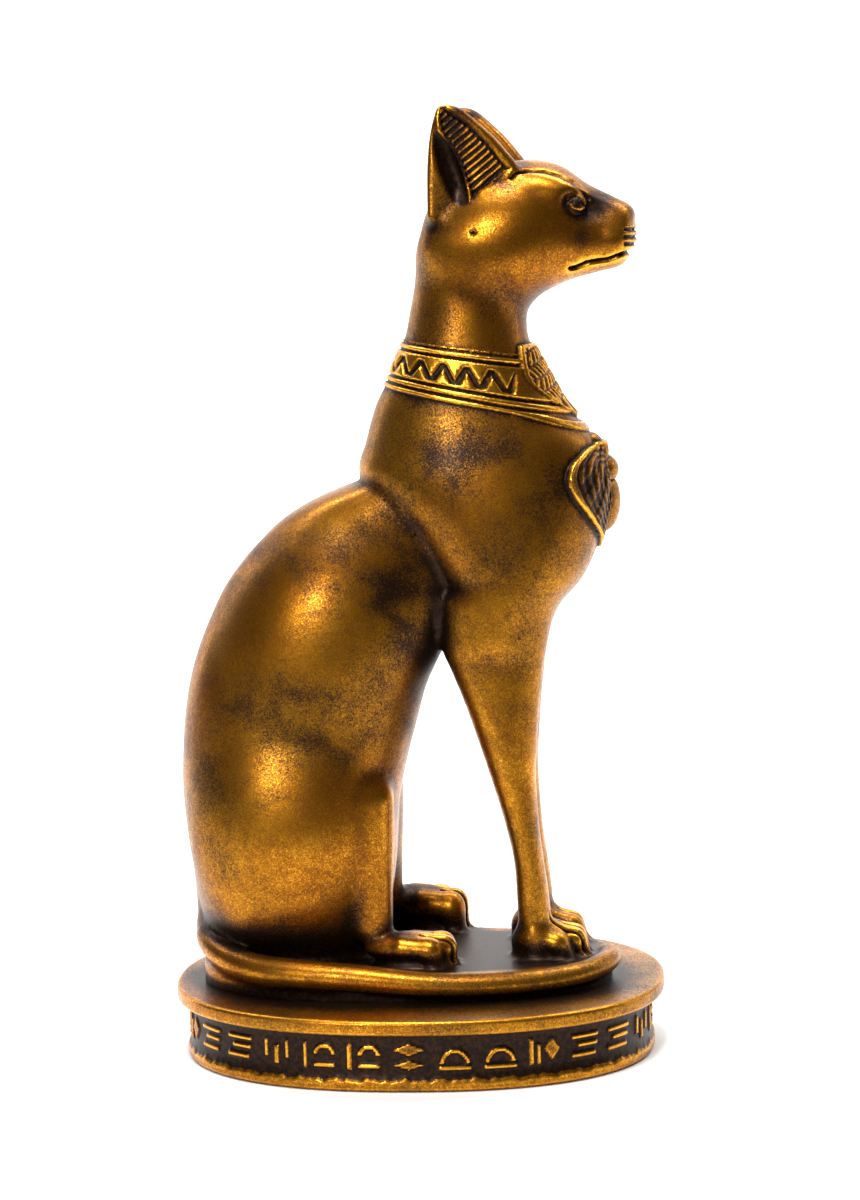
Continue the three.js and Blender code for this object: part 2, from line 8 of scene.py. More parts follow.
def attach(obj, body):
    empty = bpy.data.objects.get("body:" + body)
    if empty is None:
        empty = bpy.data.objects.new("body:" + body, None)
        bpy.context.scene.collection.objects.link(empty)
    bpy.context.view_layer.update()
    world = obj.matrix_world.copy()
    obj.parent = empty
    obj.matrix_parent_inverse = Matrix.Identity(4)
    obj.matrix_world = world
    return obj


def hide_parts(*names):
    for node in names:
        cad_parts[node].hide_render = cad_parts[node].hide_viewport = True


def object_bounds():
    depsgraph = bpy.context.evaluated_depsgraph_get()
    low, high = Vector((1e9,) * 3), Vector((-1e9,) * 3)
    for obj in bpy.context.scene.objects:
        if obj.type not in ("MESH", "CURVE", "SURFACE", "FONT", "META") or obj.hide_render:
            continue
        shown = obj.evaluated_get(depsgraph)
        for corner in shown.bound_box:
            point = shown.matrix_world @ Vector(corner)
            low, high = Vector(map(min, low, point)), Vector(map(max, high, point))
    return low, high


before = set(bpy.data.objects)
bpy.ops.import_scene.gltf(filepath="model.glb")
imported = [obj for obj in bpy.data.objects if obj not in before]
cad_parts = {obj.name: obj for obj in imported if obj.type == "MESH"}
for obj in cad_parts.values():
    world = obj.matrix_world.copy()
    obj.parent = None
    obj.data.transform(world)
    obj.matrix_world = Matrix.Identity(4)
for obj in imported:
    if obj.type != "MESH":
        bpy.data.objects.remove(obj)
cad_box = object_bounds()

# Sizes in millimetres, the same as the solid's
PLINTH_LENGTH = 104.6
PLINTH_WIDTH = 80.0
PLINTH_HEIGHT = 15.5
PLINTH_SQUARENESS = 2.3
RIM_HEIGHT = 3.3
RIM_ROUND = 0.9
RIM_OVERHANG = 1.3
BAND_HOLLOW = 1.7
LIP_HEIGHT = 2.6
LIP_INSET = 2.1
FOOT_CHAMFER = 1.1
SLAB_LENGTH = 87.4
SLAB_WIDTH = 45.2
SLAB_HEIGHT = 5.4
SLAB_SQUARENESS = 2.3
SLAB_SHIFT = (-2.4, -2.3)
TAIL_THICKNESS = 5.5
TAIL_INSET = 0.7
TAIL_DROP = 2.2
ROOT_INSET = 1.3
TAIL_START = 3.0
TAIL_END = -1.5
CAT_SHIFT = 1.5
SLAB_FILLET = 2.2
HEAD_TURN = math.radians(-6)
HEAD_PIVOT = 14.0
EAR_FOOT_HEIGHT = 160.5
EAR_SPAN = 23.8

# The far hind foot is larger and higher than the near one. Its place of match along the cat
# corresponds to the near foot's place of match
NEAR_FOOT_PLACE = 15.8
FAR_FOOT_PLACE = 17.6
FAR_FOOT_GROWTH = 1.1
FAR_FOOT_RISE = 1.38
FAR_FOOT_MATCH = 0.9
NEAR_FOOT_MATCH = 1.0

# The far fore paw is a little behind the near one and nearer the middle
PAW_PLACE = 7.9
FAR_PAW_INWARD = 0.5
FAR_PAW_BACK = 0.7

# Relief in millimetres
COLLAR_RELIEF = 0.6
PLATE_RELIEF = 0.95
PENDANT_RELIEF = 1.2
STROKE_RELIEF = 0.5
TOE_RELIEF = 0.9

# Places of the carving: heights above the plinth, and places along the cat
COLLAR_TOP = 135.9
COLLAR_FALL = 0.138
PLATE_FOOT = 119.3
PLATE_TOP = 134.6
PENDANT_FOOT = 91.9
PENDANT_TOP = 113.9
NECK_MIDDLE = 12.5
BODY_FRONT = 14
FACE_START = 33
MUZZLE_END = 47
WHISKER_SLOPE = 0.1
EYE = (37.5, 163.8)

# Signs round the plinth's band
SIGN_COUNT = 30
SIGN_PITCH = 9.4
SIGN_LEVEL = 7.4
STROKE_HALF = 0.42

# Meshing: an edge is cut in two where the carving bends more than this across it,
# unless it is already as short as the finest edge
CARVING_STEP = 0.13
FINEST_EDGE = 0.42

# How far the figure reaches down into the plinth, and how far its ears stay below the solid's top
ROOT_DEPTH = 1.2
TOP_MARGIN = 0.05

# The camera in millimetres and degrees, with its focal length in pixels of a 1200 pixel tall frame
CAMERA_AZIMUTH = 4.0
CAMERA_HEIGHT = 180.0
CAMERA_ROLL = -1.3
CAMERA_DISTANCE = 640.0
CAMERA_TARGET = (3.85, 0.0, 96.4)
FOCAL_PIXELS = 3045.0
FRAME_PIXELS = 1200.0
SENSOR = 36.0

# Colours of the paint, from the dark ground to the brightest grains
DARK_GROUND = (0.006, 0.002, 0.0008)
LIGHT_GROUND = (0.035, 0.012, 0.0025)
DEEP_GOLD = (0.44, 0.140, 0.003)
WARM_GOLD = (0.64, 0.26, 0.010)
RUBBED_GOLD = (0.88, 0.42, 0.035)
GRAIN_GOLD = (0.95, 0.46, 0.05)
PALE_FLOOR = (0.93, 0.93, 0.93)

# The floor in metres: where it starts, where it turns up, the radius of that turn, and its reach
FLOOR_START = -0.2
FLOOR_TURN = 1.2
FLOOR_RADIUS = 0.8
FLOOR_REACH = 4.0

# Each light's place, the place it aims at and its size in metres, and its power in watts
MIDDLE = (0, 0, 0.1)
LIGHTS = [
    ("key", (-0.2, -0.66, 0.34), MIDDLE, (0.12, 0.2), 2.4),
    ("top", (-0.05, -0.3, 0.9), MIDDLE, (0.22, 0.18), 7.5),
    ("left", (-0.75, 0.5, 0.3), MIDDLE, (0.2, 0.8), 1.4),
    ("right", (0.8, 0.3, 0.35), MIDDLE, (0.25, 0.7), 1.4),
    ("backdrop", (0, 0.6, 1.6), (0, 1.6, 0.2), (2.5, 0.6), 75),
]
WORLD_STRENGTH = 0.02


# Curves and forms, all on arrays of places
def curve(pairs):
    """Smooth curve through pairs of place and value, level beyond its ends."""
    at = np.array([pair[0] for pair in pairs], float)
    value = np.array([pair[1] for pair in pairs], float)
    step = np.diff(at)
    rise = np.diff(value) / step
    slope = np.empty_like(value)
    slope[1:-1] = (rise[:-1] * step[1:] + rise[1:] * step[:-1]) / (step[1:] + step[:-1])
    slope[0] = rise[0]
    slope[-1] = rise[-1]

    def read(place):
        place = np.clip(place, at[0], at[-1])
        index = np.clip(np.searchsorted(at, place, side="right") - 1, 0, len(step) - 1)
        width = step[index]
        share = (place - at[index]) / width
        rest = 1 - share
        return (
            (1 + 2 * share) * rest**2 * value[index]
            + share * rest**2 * width * slope[index]
            + share**2 * (3 - 2 * share) * value[index + 1]
            - share**2 * rest * width * slope[index + 1]
        )

    return read


def ease(start, end, value):
    """Smooth rise from 0 at start to 1 at end."""
    share = np.clip((value - start) / (end - start), 0, 1)
    return share * share * (3 - 2 * share)


def within(value, low, high, soft):
    """1 between low and high and 0 outside, with soft ends."""
    return ease(low - soft, low + soft, value) * (1 - ease(high - soft, high + soft, value))


def join(first, second, round_):
    """Both forms together, with a fillet where they meet."""
    near = np.maximum(round_ - np.abs(first - second), 0) / round_
    return np.minimum(first, second) - near * near * round_ * 0.25


def limit(first, second, round_):
    """What two forms share, with a rounded edge."""
    return -join(-first, -second, round_)


def oval(u, v, half_u, half_v, power):
    """Distance to an oval outline: an ellipse at power 2, squarer above it."""
    first = np.abs(u) / half_u
    second = np.abs(v) / half_v
    total = first**power + second**power
    slope = np.hypot(first ** (power - 1) / half_u, second ** (power - 1) / half_v)
    slope = slope * np.maximum(total, 1e-9) ** (1 / power - 1)
    return (total ** (1 / power) - 1) / (slope + 1e-9)


def egg(x, y, z, centre, radius, lean=0.0):
    """Distance to an ellipsoid that leans forward or back."""
    cos, sin = math.cos(lean), math.sin(lean)
    dx, dy, dz = x - centre[0], y - centre[1], z - centre[2]
    px, pz = cos * dx - sin * dz, sin * dx + cos * dz
    rx, ry, rz = radius
    reach = np.sqrt((px / rx) ** 2 + (dy / ry) ** 2 + (pz / rz) ** 2)
    slope = np.sqrt((px / rx**2) ** 2 + (dy / ry**2) ** 2 + (pz / rz**2) ** 2)
    return reach * (reach - 1) / (slope + 1e-9)


def finger(x, y, z, start, end, radius_start, radius_end):
    """Distance to a tapered rod with round ends."""
    axis = [e - s for s, e in zip(start, end)]
    length = sum(part * part for part in axis)
    dot = (x - start[0]) * axis[0] + (y - start[1]) * axis[1] + (z - start[2]) * axis[2]
    share = np.clip(dot / length, 0, 1)
    dx = x - start[0] - share * axis[0]
    dy = y - start[1] - share * axis[1]
    dz = z - start[2] - share * axis[2]
    return np.sqrt(dx * dx + dy * dy + dz * dz) - radius_start - (radius_end - radius_start) * share


def path_distance(u, v, path):
    """Distance in a plane to a line through points."""
    best = np.full(np.shape(u), 1e3)
    for (u0, v0), (u1, v1) in zip(path[:-1], path[1:]):
        du, dv = u1 - u0, v1 - v0
        share = np.clip(((u - u0) * du + (v - v0) * dv) / (du * du + dv * dv), 0, 1)
        best = np.minimum(best, np.hypot(u - u0 - share * du, v - v0 - share * dv))
    return best


# Profiles of the body by height above the plinth, and of the head by place along it
rear_back = curve([
    (0.5, -43), (6, -44.2), (11.9, -46), (18, -47.4), (25.1, -48.4), (34.5, -49.6), (42.5, -50.1),
    (50.5, -49.8), (60, -48.8), (68.7, -46.8), (77.2, -43.5), (85.8, -39), (94.2, -31.9), (99, -26.6),
    (102.6, -20.5), (105.6, -13.6), (108.5, -6),
])
rear_front = curve([
    (0.5, -7), (6.5, -7), (15.5, -6), (24.5, -4.8), (37.5, -3.8), (46.5, -1.9), (55.2, 0.5), (63.5, 3),
    (68.5, 5.4), (74.5, 8.4), (84.5, 12), (96.5, 12), (108.5, 10),
])
rear_half = curve([
    (0.5, 14.5), (5.5, 14.8), (9, 16.2), (13, 18.8), (17, 20.6), (21, 21.5), (26.5, 21.8), (40.5, 21.5),
    (54.5, 20.2), (68.5, 18.8), (82.5, 16.5), (94.5, 14), (102.5, 12), (108.5, 10),
])
chest_back = curve([
    (68.5, 7.2), (72.5, 7.6), (78.5, 7.4), (83.8, 6.2), (89.5, 2.5), (96.2, -2.5), (102.5, -8),
    (108.5, -10.6), (115.1, -8.9), (123.5, -6.2), (127.6, -4), (131.8, -2.2), (136, -0.4), (142.2, 1),
    (148.4, 2.2), (156.7, 3.3), (162.5, 4.6),
])
chest_front = curve([
    (68.5, 27.4), (72.5, 28), (76.5, 29.3), (80.5, 32), (84.7, 35.8), (88.9, 38.2), (93.1, 39.8),
    (97.3, 41), (101.5, 41.8), (105.8, 41.9), (110, 41), (114.2, 39.5), (118.5, 36), (122.8, 32.6),
    (126.5, 30.6), (131.2, 28.1), (135.5, 25.9), (139.5, 25.4), (144.5, 26), (150.5, 27), (162.5, 28),
])
chest_half = curve([
    (68.5, 14), (74.5, 15.2), (84.5, 17), (96.5, 18), (108.5, 17.6), (118.5, 15.6), (126.5, 13.6),
    (134.5, 12.2), (142.5, 11.6), (150.5, 11.8), (162.5, 12),
])
leg_back = curve([
    (5.4, 22), (11.2, 21.7), (17.7, 21.4), (26.3, 20.8), (34.9, 18.9), (43.5, 16.4), (52.1, 13.7),
    (60.7, 10.8), (67.1, 8.3), (70.5, 7), (79.5, 6),
])
leg_front = curve([
    (5.4, 28.4), (15.7, 28.4), (20.1, 28), (24.5, 27.4), (33.2, 26.4), (39.7, 26), (46.2, 25.9),
    (50.5, 26.2), (59.2, 26.9), (63.5, 27.4), (68.5, 28), (79.5, 29.6),
])
leg_half = curve([(2.5, 4.9), (14.5, 4.8), (29.5, 5), (44.5, 5.5), (56.5, 6.2), (68.5, 7), (79.5, 8)])
leg_apart = curve([(2.5, 7.9), (29.5, 7.9), (68.5, 7.4), (79.5, 7)])
head_top = curve([
    (2, 160.5), (8, 166.9), (14, 170.3), (22, 172.4), (29.8, 172.5), (33.5, 171.3), (38.3, 167.9),
    (44.8, 164.5), (48, 162.9), (50, 161.7),
])
head_under = curve([
    (2, 150.5), (10, 145.5), (20, 143), (26.4, 144.1), (30, 145.7), (34, 147.5), (40.9, 149.4),
    (45.5, 150.6), (48, 152), (50, 154),
])
head_half = curve([
    (2, 9), (8, 12), (14, 13.7), (20, 14.4), (26, 13.7), (31, 11.9), (35, 9.9), (38, 8.5), (41.5, 7.4),
    (45, 6.6), (47.6, 5.6), (49, 4.6), (50, 3.6),
])
ear_front = curve([
    (156.5, 25), (164.5, 25.4), (171.5, 25.4), (174.5, 23.2), (178, 20.2), (181, 17), (183.3, 14.2),
    (184.3, 12.6),
])

# Tail by share of the slab's half length: its rise in thicknesses and how much thicker it is there
tail_rise = curve([
    (-1.05, 1.3), (-0.88, 0.7), (-0.75, 0.5), (-0.5, 0.42), (-0.28, 0.36), (0.19, 0.04), (0.5, 0),
    (0.81, 0.05), (1, 0.18),
])
tail_growth = curve([(-1, 1.25), (-0.8, 1.24), (-0.5, 1.12), (0, 1), (0.6, 0.94), (1, 0.88)])
pendant_half = curve([
    (91.5, 0.5), (93, 2.5), (96.5, 8), (101.5, 12.4), (104.5, 13.5), (108, 13.3), (111, 11.2),
    (113, 7.6), (114, 3), (117.5, 1),
])
plate_half = curve([
    (119, 0.5), (120.5, 4.5), (123.5, 8), (126.5, 9.8), (130.5, 9.2), (133.5, 8), (135.5, 7),
])

# Toes: how far each lies from the middle of the foot and how far forward it reaches
HIND_TOES = [(-3.2, 8.8), (0.0, 9.3), (3.2, 6.6)]
FORE_TOES = [(-3.3, 37.0), (0.0, 37.0), (3.3, 33.6)]


def hind_body(x, y, z):
    back, front, side = rear_back(z), rear_front(z), np.abs(y)
    form = oval(x - (back + front) / 2, y, (front - back) / 2, rear_half(z), 2.25)
    form = join(form, egg(x, side, z, (-18.5, 8.6, 73), (19, 12, 25.5), 0.42), 4)
    form = join(form, egg(x, side, z, (-26, 10.2, 33), (20.3, 12.9, 22.6), -0.03), 4)
    form = join(form, finger(x, side, z, (-8.7, 13.2, 40), (-8.8, 13.6, 13.2), 4.6, 4.1), 3)
    form = join(form, finger(x, y, z, (-44.3, 0, 23), (-44.5, -1, 8), 3.3, 3.5), 2.5)
    return limit(form, z - 107, 3)


def chest(x, y, z):
    back, front = chest_back(z), chest_front(z)
    form = oval(x - (back + front) / 2, y, (front - back) / 2, chest_half(z), 2.15)
    form = limit(form, 70.5 - z, 4)
    return limit(form, z - 155.5, 3)


def forelegs(x, y, z):
    back, front = leg_back(z), leg_front(z)
    form = oval(x - (back + front) / 2, np.abs(y) - leg_apart(z), (front - back) / 2, leg_half(z), 2.2)
    form = limit(form, z - 82.5, 2)
    return limit(form, SLAB_HEIGHT - 1 - z, 1)


def head(x, y, z):
    top, under, side = head_top(x), head_under(x), np.abs(y)
    form = oval(z - (top + under) / 2, y, (top - under) / 2, head_half(x), 2.1)
    form = limit(form, x - 48.5 + (160.5 - z) * 0.13, 2.4)
    form = limit(form, 4.4 - x, 5)
    form = join(form, egg(x, side, z, (44.4, 3.1, 156.4), (4, 3.5, 3.4)), 1.6)
    form = join(form, egg(x, side, z, (32.5, 7.2, 165.9), (7.5, 3.4, 3), 0.3), 3)
    form = limit(form, -egg(x, side, z, (40, 9.4, 162.9), (5, 3.2, 2.6), 0.35), 2.5)
    return join(form, egg(x, side, z, (37, 7.5, 163.5), (2.3, 1.9, 1.9)), 0.8)


def ear_face(x, z):
    """How far out the open face of an ear lies, and the share of its height."""
    rise = np.clip((z - EAR_FOOT_HEIGHT) / EAR_SPAN, 0, 1)
    rear = 7 + 2.6 * rise**4
    front = ear_front(z)
    across = np.clip((x - rear) / np.maximum(front - rear, 0.5), 0, 1)
    face = 13.2 - 0.9 * rise - (4.2 * (1 - rise) + 0.6) * across
    return face, rise, rear, front, across


def ears(x, y, z):
    side = np.abs(y)
    face, rise, rear, front, across = ear_face(x, z)
    round_ = np.sqrt(np.maximum(4 * across * (1 - across), 0))
    thick = (2.2 + 3.8 * (1 - rise)) * (0.5 + 0.5 * round_) + 1.2
    form = limit(side - face, face - thick - side, 1) * 0.93
    form = limit(form, np.maximum(rear - x, (x - front) * 0.78), 1.2)
    form = limit(form, z - 184.2, 1.2)
    form = limit(form, 160 - z, 2)
    hollow = egg(x, side - face, z, (12.2, 0.3, 170.5), (2.3, 2.7, 9), -0.33)
    return limit(form, -hollow, 0.6)


def toe(x, y, z, root, knuckle, tip, radius):
    """A toe runs forward from its root and bends down at the knuckle to its tip."""
    upper = finger(x, y, z, root, knuckle, radius, radius)
    return join(upper, finger(x, y, z, knuckle, tip, radius, radius * 0.85), radius * 0.5)


def hind_foot_place(x, y):
    """Places along and across in the frame of the hind foot on the same side."""
    along = np.where(y > 0, (x - FAR_FOOT_MATCH) / FAR_FOOT_GROWTH + NEAR_FOOT_MATCH, x)
    return along, np.where(y > 0, (y - FAR_FOOT_PLACE) / FAR_FOOT_GROWTH, -y - NEAR_FOOT_PLACE)


def fore_paw_place(x, y):
    """Places along and across in the frame of the fore paw on the same side."""
    across = np.where(y > 0, y + FAR_PAW_INWARD, -y)
    return np.where(y > 0, x + FAR_PAW_BACK, x), across - PAW_PLACE


def hind_feet(x, y, z):
    along, side = hind_foot_place(x, y)
    level = np.where(y > 0, (z - SLAB_HEIGHT) / FAR_FOOT_RISE + SLAB_HEIGHT, z)
    form = egg(along, side, level, (-1.5, 0, 9.1), (9, 5, 3.4))
    form = join(form, egg(along, side, level, (0.2, 0, 6.4), (7.8, 4.9, 3.6)), 1)
    for place, reach in HIND_TOES:
        root = (reach - 9, place * 0.9, 9.6)
        knuckle = (reach - 3.2, place, 9)
        tip = (reach - 2.5, place, 6.5)
        form = join(form, toe(along, side, level, root, knuckle, tip, 2.5), 0.5)
    return limit(np.where(y > 0, form * FAR_FOOT_GROWTH, form), SLAB_HEIGHT - 1 - z, 0.5)


def fore_paws(x, y, z):
    along, side = fore_paw_place(x, y)
    form = egg(along, side, z, (26.4, 0, 8.2), (6.4, 5.4, 5.2))
    for place, reach in FORE_TOES:
        root = (reach - 8.5, place * 0.85, 10.2)
        knuckle = (reach - 3.9, place, 8.6)
        tip = (reach - 2.6, place, 6.5)
        form = join(form, toe(along, side, z, root, knuckle, tip, 2.5), 0.5)
    return limit(form, SLAB_HEIGHT - 1 - z, 0.5)


def scarab(x, y, z):
    side = np.abs(y)
    form = egg(x, y, z, (40.5, 0, 101.5), (3.1, 4, 5.8))
    form = np.minimum(form, egg(x, y, z, (40.4, 0, 108), (2.9, 3.6, 2.6)))
    return np.minimum(form, egg(x, side, z, (38.8, 2.2, 112.5), (2.4, 1.9, 3.3), -0.3))


def head_place(x, y):
    """Places in the frame of the turned head."""
    cos, sin = math.cos(HEAD_TURN), math.sin(HEAD_TURN)
    return HEAD_PIVOT + cos * (x - HEAD_PIVOT) + sin * y, cos * y - sin * (x - HEAD_PIVOT)


def cat(x, y, z):
    hx, hy = head_place(x, y)
    form = join(chest(x, y, z), scarab(x, y, z), 0.6)
    form = join(form, forelegs(x, y, z), 3.5)
    form = join(form, hind_body(x, y, z), 2)
    form = join(form, join(head(hx, hy, z), ears(hx, hy, z), 1.2), 4)
    form = join(form, hind_feet(x, y, z), 1.6)
    return join(form, fore_paws(x, y, z), 1.6)


def slab_oval(x, y):
    """Distance to the outline of the slab."""
    return oval(x - SLAB_SHIFT[0], y - SLAB_SHIFT[1], SLAB_LENGTH / 2, SLAB_WIDTH / 2, SLAB_SQUARENESS)


def slab_and_tail(x, y, z):
    inward = slab_oval(x, y)
    slab = limit(inward, z - SLAB_HEIGHT, 1)
    share = (x - SLAB_SHIFT[0]) / (SLAB_LENGTH / 2)
    level = SLAB_HEIGHT - TAIL_DROP + TAIL_THICKNESS * tail_rise(share)
    inset = TAIL_INSET + ROOT_INSET * ease(0.55, 1, -share)
    roll = np.hypot((inward + inset) * 0.92, z - level) - TAIL_THICKNESS / 2 * tail_growth(share)
    fade = np.maximum(0, y - np.where(x > SLAB_SHIFT[0], TAIL_END, TAIL_START)) * 1.1
    return np.minimum(slab, roll + fade)


def figure(x, y, z):
    """Distance to the cat, its slab and tail, for heights above the plinth."""
    return join(cat(x, y - CAT_SHIFT, z), slab_and_tail(x, y, z), SLAB_FILLET)


# Carving: how far the surface stands out at each place, in millimetres.
# Its lines are seen from the side, as places along and heights
MOUTH = [(35.7, 150.2), (36.8, 150.4), (39.3, 151.4), (43.4, 151.9), (47.6, 153.4), (50, 154)]
BROW = [
    (24.2, 169.0), (25.4, 170.0), (27.8, 170.4), (30.9, 170.2), (33.9, 169.3), (36.5, 167.9),
    (38.6, 166.0), (39.6, 164.4),
]
UPPER_LID = [(36.0, 163.9), (36.4, 164.7), (37.2, 165.1), (38.1, 164.7), (38.6, 164.1), (38.9, 163.1)]
LOWER_LID = [(36.0, 163.9), (36.4, 163.3), (37.0, 162.7), (38.4, 162.3), (38.9, 163.0)]
WHISKER_LEVELS = (158.1, 156.6, 155.1)
EAR_RIDGE = [(9.6, 181.5), (9.9, 179.0), (11.1, 176.4), (13.6, 171.9), (15.5, 166.8), (16.1, 164.0)]
EAR_CHANNEL = [(11.4, 183.2), (12.3, 182.6), (15.9, 180.1), (19.9, 175.9), (23.6, 171.0)]
EAR_FOOT = [(23.6, 171.0), (21.0, 168.2), (17.6, 166.6), (16.4, 164.6)]
STRAP = [
    (-20, 130.4), (-14, 129.2), (-10, 128.3), (0, 126.2), (10, 124.1), (18, 122.6), (22.7, 121.6),
    (27.5, 120.1), (32.5, 118.4), (38.5, 116.8),
]
COLLAR_LINES = (0.35, 1.75, 7.5, 9.0)


def groove(distance, half, soft, depth):
    """A soft-edged groove along a line."""
    return -depth * (1 - ease(half - soft, half + soft, distance))


def whisker_slots(x, z):
    """Distance to each of the whisker slots, which fall a little towards the front."""
    return [np.abs(z - level + WHISKER_SLOPE * (x - MUZZLE_END)) for level in WHISKER_LEVELS]


def face_carving(x, y, z):
    side = np.abs(y)
    out = groove(path_distance(x, z, MOUTH), 0.42, 0.2, 1.1) * (x > FACE_START)
    out = out + groove(path_distance(x, z, BROW), 0.28, 0.22, 0.55) * (side > 3)
    upper = path_distance(x, z, UPPER_LID)
    lower = path_distance(x, z, LOWER_LID)
    eye = groove(upper, 0.26, 0.12, 0.5) + 0.2 * (1 - ease(0.12, 0.35, lower))
    out = out + eye * (side > 4) * (x > FACE_START) * (x < 41)
    nostril = np.sqrt((x - 46.9) ** 2 + (side - 2.1) ** 2 + (z - 160.4) ** 2)
    out = out + groove(nostril, 0.6, 0.3, 0.7)
    for slot in whisker_slots(x, z):
        out = out + groove(slot, 0.36, 0.14, 0.45) * ease(46.6, MUZZLE_END, x) * (side > 1.0)
    lip_split = groove(side, 0.2, 0.15, 0.4) * ease(46.5, MUZZLE_END, x)
    out = out + lip_split * within(z, 154.2, 159, 0.2)
    pit = np.sqrt((x - 16.7) ** 2 + (z - 158.1) ** 2)
    return out + groove(pit, 0.4, 0.2, 0.6) * (y < -8)


def rising(path, key, value):
    """The two columns of a falling path, turned so that the key column rises."""
    back = path[::-1]
    return [point[key] for point in back], [point[value] for point in back]


def ripple(place, pitch):
    """A smooth wave from 0 to 1 along a line."""
    return 0.5 + 0.5 * np.cos(place / pitch * 2 * math.pi)


def ear_carving(x, y, z):
    face = ear_face(x, z)[0]
    ridge = path_distance(x, z, EAR_RIDGE)
    channel = path_distance(x, z, EAR_CHANNEL)
    foot = path_distance(x, z, EAR_FOOT)
    ridge_x = np.interp(z, *rising(EAR_RIDGE, 1, 0))
    channel_x = np.interp(z, *rising(EAR_CHANNEL, 1, 0))
    low = np.interp(x, *rising(EAR_FOOT, 0, 1))
    panel = ease(0, 0.5, x - ridge_x - 0.3) * ease(0, 0.5, channel_x - x) * ease(0, 0.5, z - low)
    ribs = ripple(0.62 * x - 0.78 * z, 1.25)
    out = -0.85 * panel + 0.55 * panel * ease(0.45, 0.85, ribs) * ease(0.5, 0.9, channel)
    out = out + groove(channel, 0.3, 0.2, 0.35)
    out = out + 0.3 * (1 - ease(0.2, 0.55, ridge))
    out = out + groove(foot, 0.2, 0.2, 0.2)
    outward = 1 - ease(0.9, 1.4, np.abs(np.abs(y) - face))
    return out * outward * (z > 161) * (np.abs(y) > 6)


def collar_carving(x, y, z):
    drop = (COLLAR_TOP - COLLAR_FALL * x - z) / (1 + 0.0075 * (x + 3.4))
    along = np.abs(np.arctan2(y, x - NECK_MIDDLE)) * 12.6 / 4.75
    mask = (z > 112) & (z < 140)
    out = COLLAR_RELIEF * within(drop, -0.1, 8.9, 0.15)
    for line in COLLAR_LINES:
        out = out + groove(np.abs(drop - line), 0.33, 0.14, 0.75)
    share = (6.7 - drop) / 3.5
    phase = np.abs(along - np.round(along))
    slant = (share - (1 - 2.1 * phase)) * 1.35
    zigzag = groove(np.abs(slant), 0.42, 0.2, 0.65) * within(drop, 3.0, 6.7, 0.12)
    plate = plate_mask(x, y, z)
    out = out + zigzag * (1 - ease(22.5, 23.5, x)) * (1 - plate)
    strap = path_distance(x, z, STRAP)
    out = out + 0.55 * (1 - ease(0.45, 0.85, strap)) * (1 - plate)
    return out * mask


def plate_mask(x, y, z):
    inside = ease(-0.3, 0.3, plate_half(z) - np.abs(y))
    return inside * within(z, PLATE_FOOT, PLATE_TOP, 0.3) * (x > BODY_FRONT)


def plate_carving(x, y, z):
    mask = plate_mask(x, y, z)
    side = np.abs(y)
    row = (PLATE_TOP - z - 0.25 * side) / 2.6
    odd = np.where(np.floor(row) % 2 == 0, 1.0, -1.0)
    strokes = ripple(side + odd * 0.55 * z, 1.3)
    between = np.abs(row - np.round(row))
    fan = 0.5 + 0.5 * np.cos(np.arctan2(y, z - 134) * 26)
    feathers = np.where(z < 123.2, 0.45 * ease(0.3, 0.7, fan), 0.4 * ease(0.3, 0.7, strokes))
    feathers = feathers - 0.35 * (1 - ease(0.05, 0.14, between)) * (z > 123.5)
    edge = np.minimum(plate_half(z) - side, PLATE_TOP - z)
    rim = 0.4 * (1 - ease(0.7, 1.0, edge))
    return mask * (PLATE_RELIEF - 0.45 + np.maximum(feathers, rim))


def pendant_carving(x, y, z):
    side = np.abs(y)
    edge = pendant_half(z) - side
    mask = ease(-0.25, 0.25, edge) * within(z, PENDANT_FOOT, PENDANT_TOP, 0.25) * (x > BODY_FRONT)
    inner = np.minimum(edge, np.minimum(z - PENDANT_FOOT, PENDANT_TOP - z) * 1.3)
    border = 0.35 * (1 - ease(0.8, 1.2, inner))
    rows = ripple(inner, 1.55)
    angle = np.arctan2(side, z - 118)
    rays = 0.5 + 0.5 * np.cos(angle * 30)
    wing = 0.2 * ease(0.25, 0.7, rows) + 0.25 * ease(0.3, 0.7, rays) * ease(1.2, 1.6, inner)
    beetle = (1 - ease(3.2, 4.0, side)) * ease(38.5, 39.5, x)
    return mask * (PENDANT_RELIEF - 0.3 + (border + wing) * (1 - beetle))


def scarab_carving(x, y, z):
    side = np.abs(y)
    mask = (x > 40) & (side < 4)
    seam = groove(side, 0.18, 0.12, 0.35) * within(z, 96, 105.5, 0.3)
    neck = groove(np.abs(z - 105.7), 0.25, 0.2, 0.4)
    return (seam + neck) * mask


def toe_grooves(along, side, toes, length, fade):
    """One groove between each two toes, which starts this length behind their tips."""
    out = 0
    for first, second in zip(toes[:-1], toes[1:]):
        start = min(first[1], second[1]) - length
        end = max(first[1], second[1]) + 0.4
        middle = (first[0] + second[0]) / 2
        line = groove(np.abs(side - middle), 0.4, 0.2, TOE_RELIEF)
        out = out + line * ease(start, start + fade, along) * (along < end)
    return out


def toe_carving(x, y, z):
    """Deep grooves between the toes of the fore paws and of the hind feet."""
    fore = toe_grooves(*fore_paw_place(x, y), FORE_TOES, 7.2, 1.5)
    hind = toe_grooves(*hind_foot_place(x, y), HIND_TOES, 6.0, 2)
    out = np.where(x > 20, fore, hind * (x < 11))
    return out * ease(5.6, 6.4, z) * (1 - ease(14.5, 15.5, z)) * (x > -6)


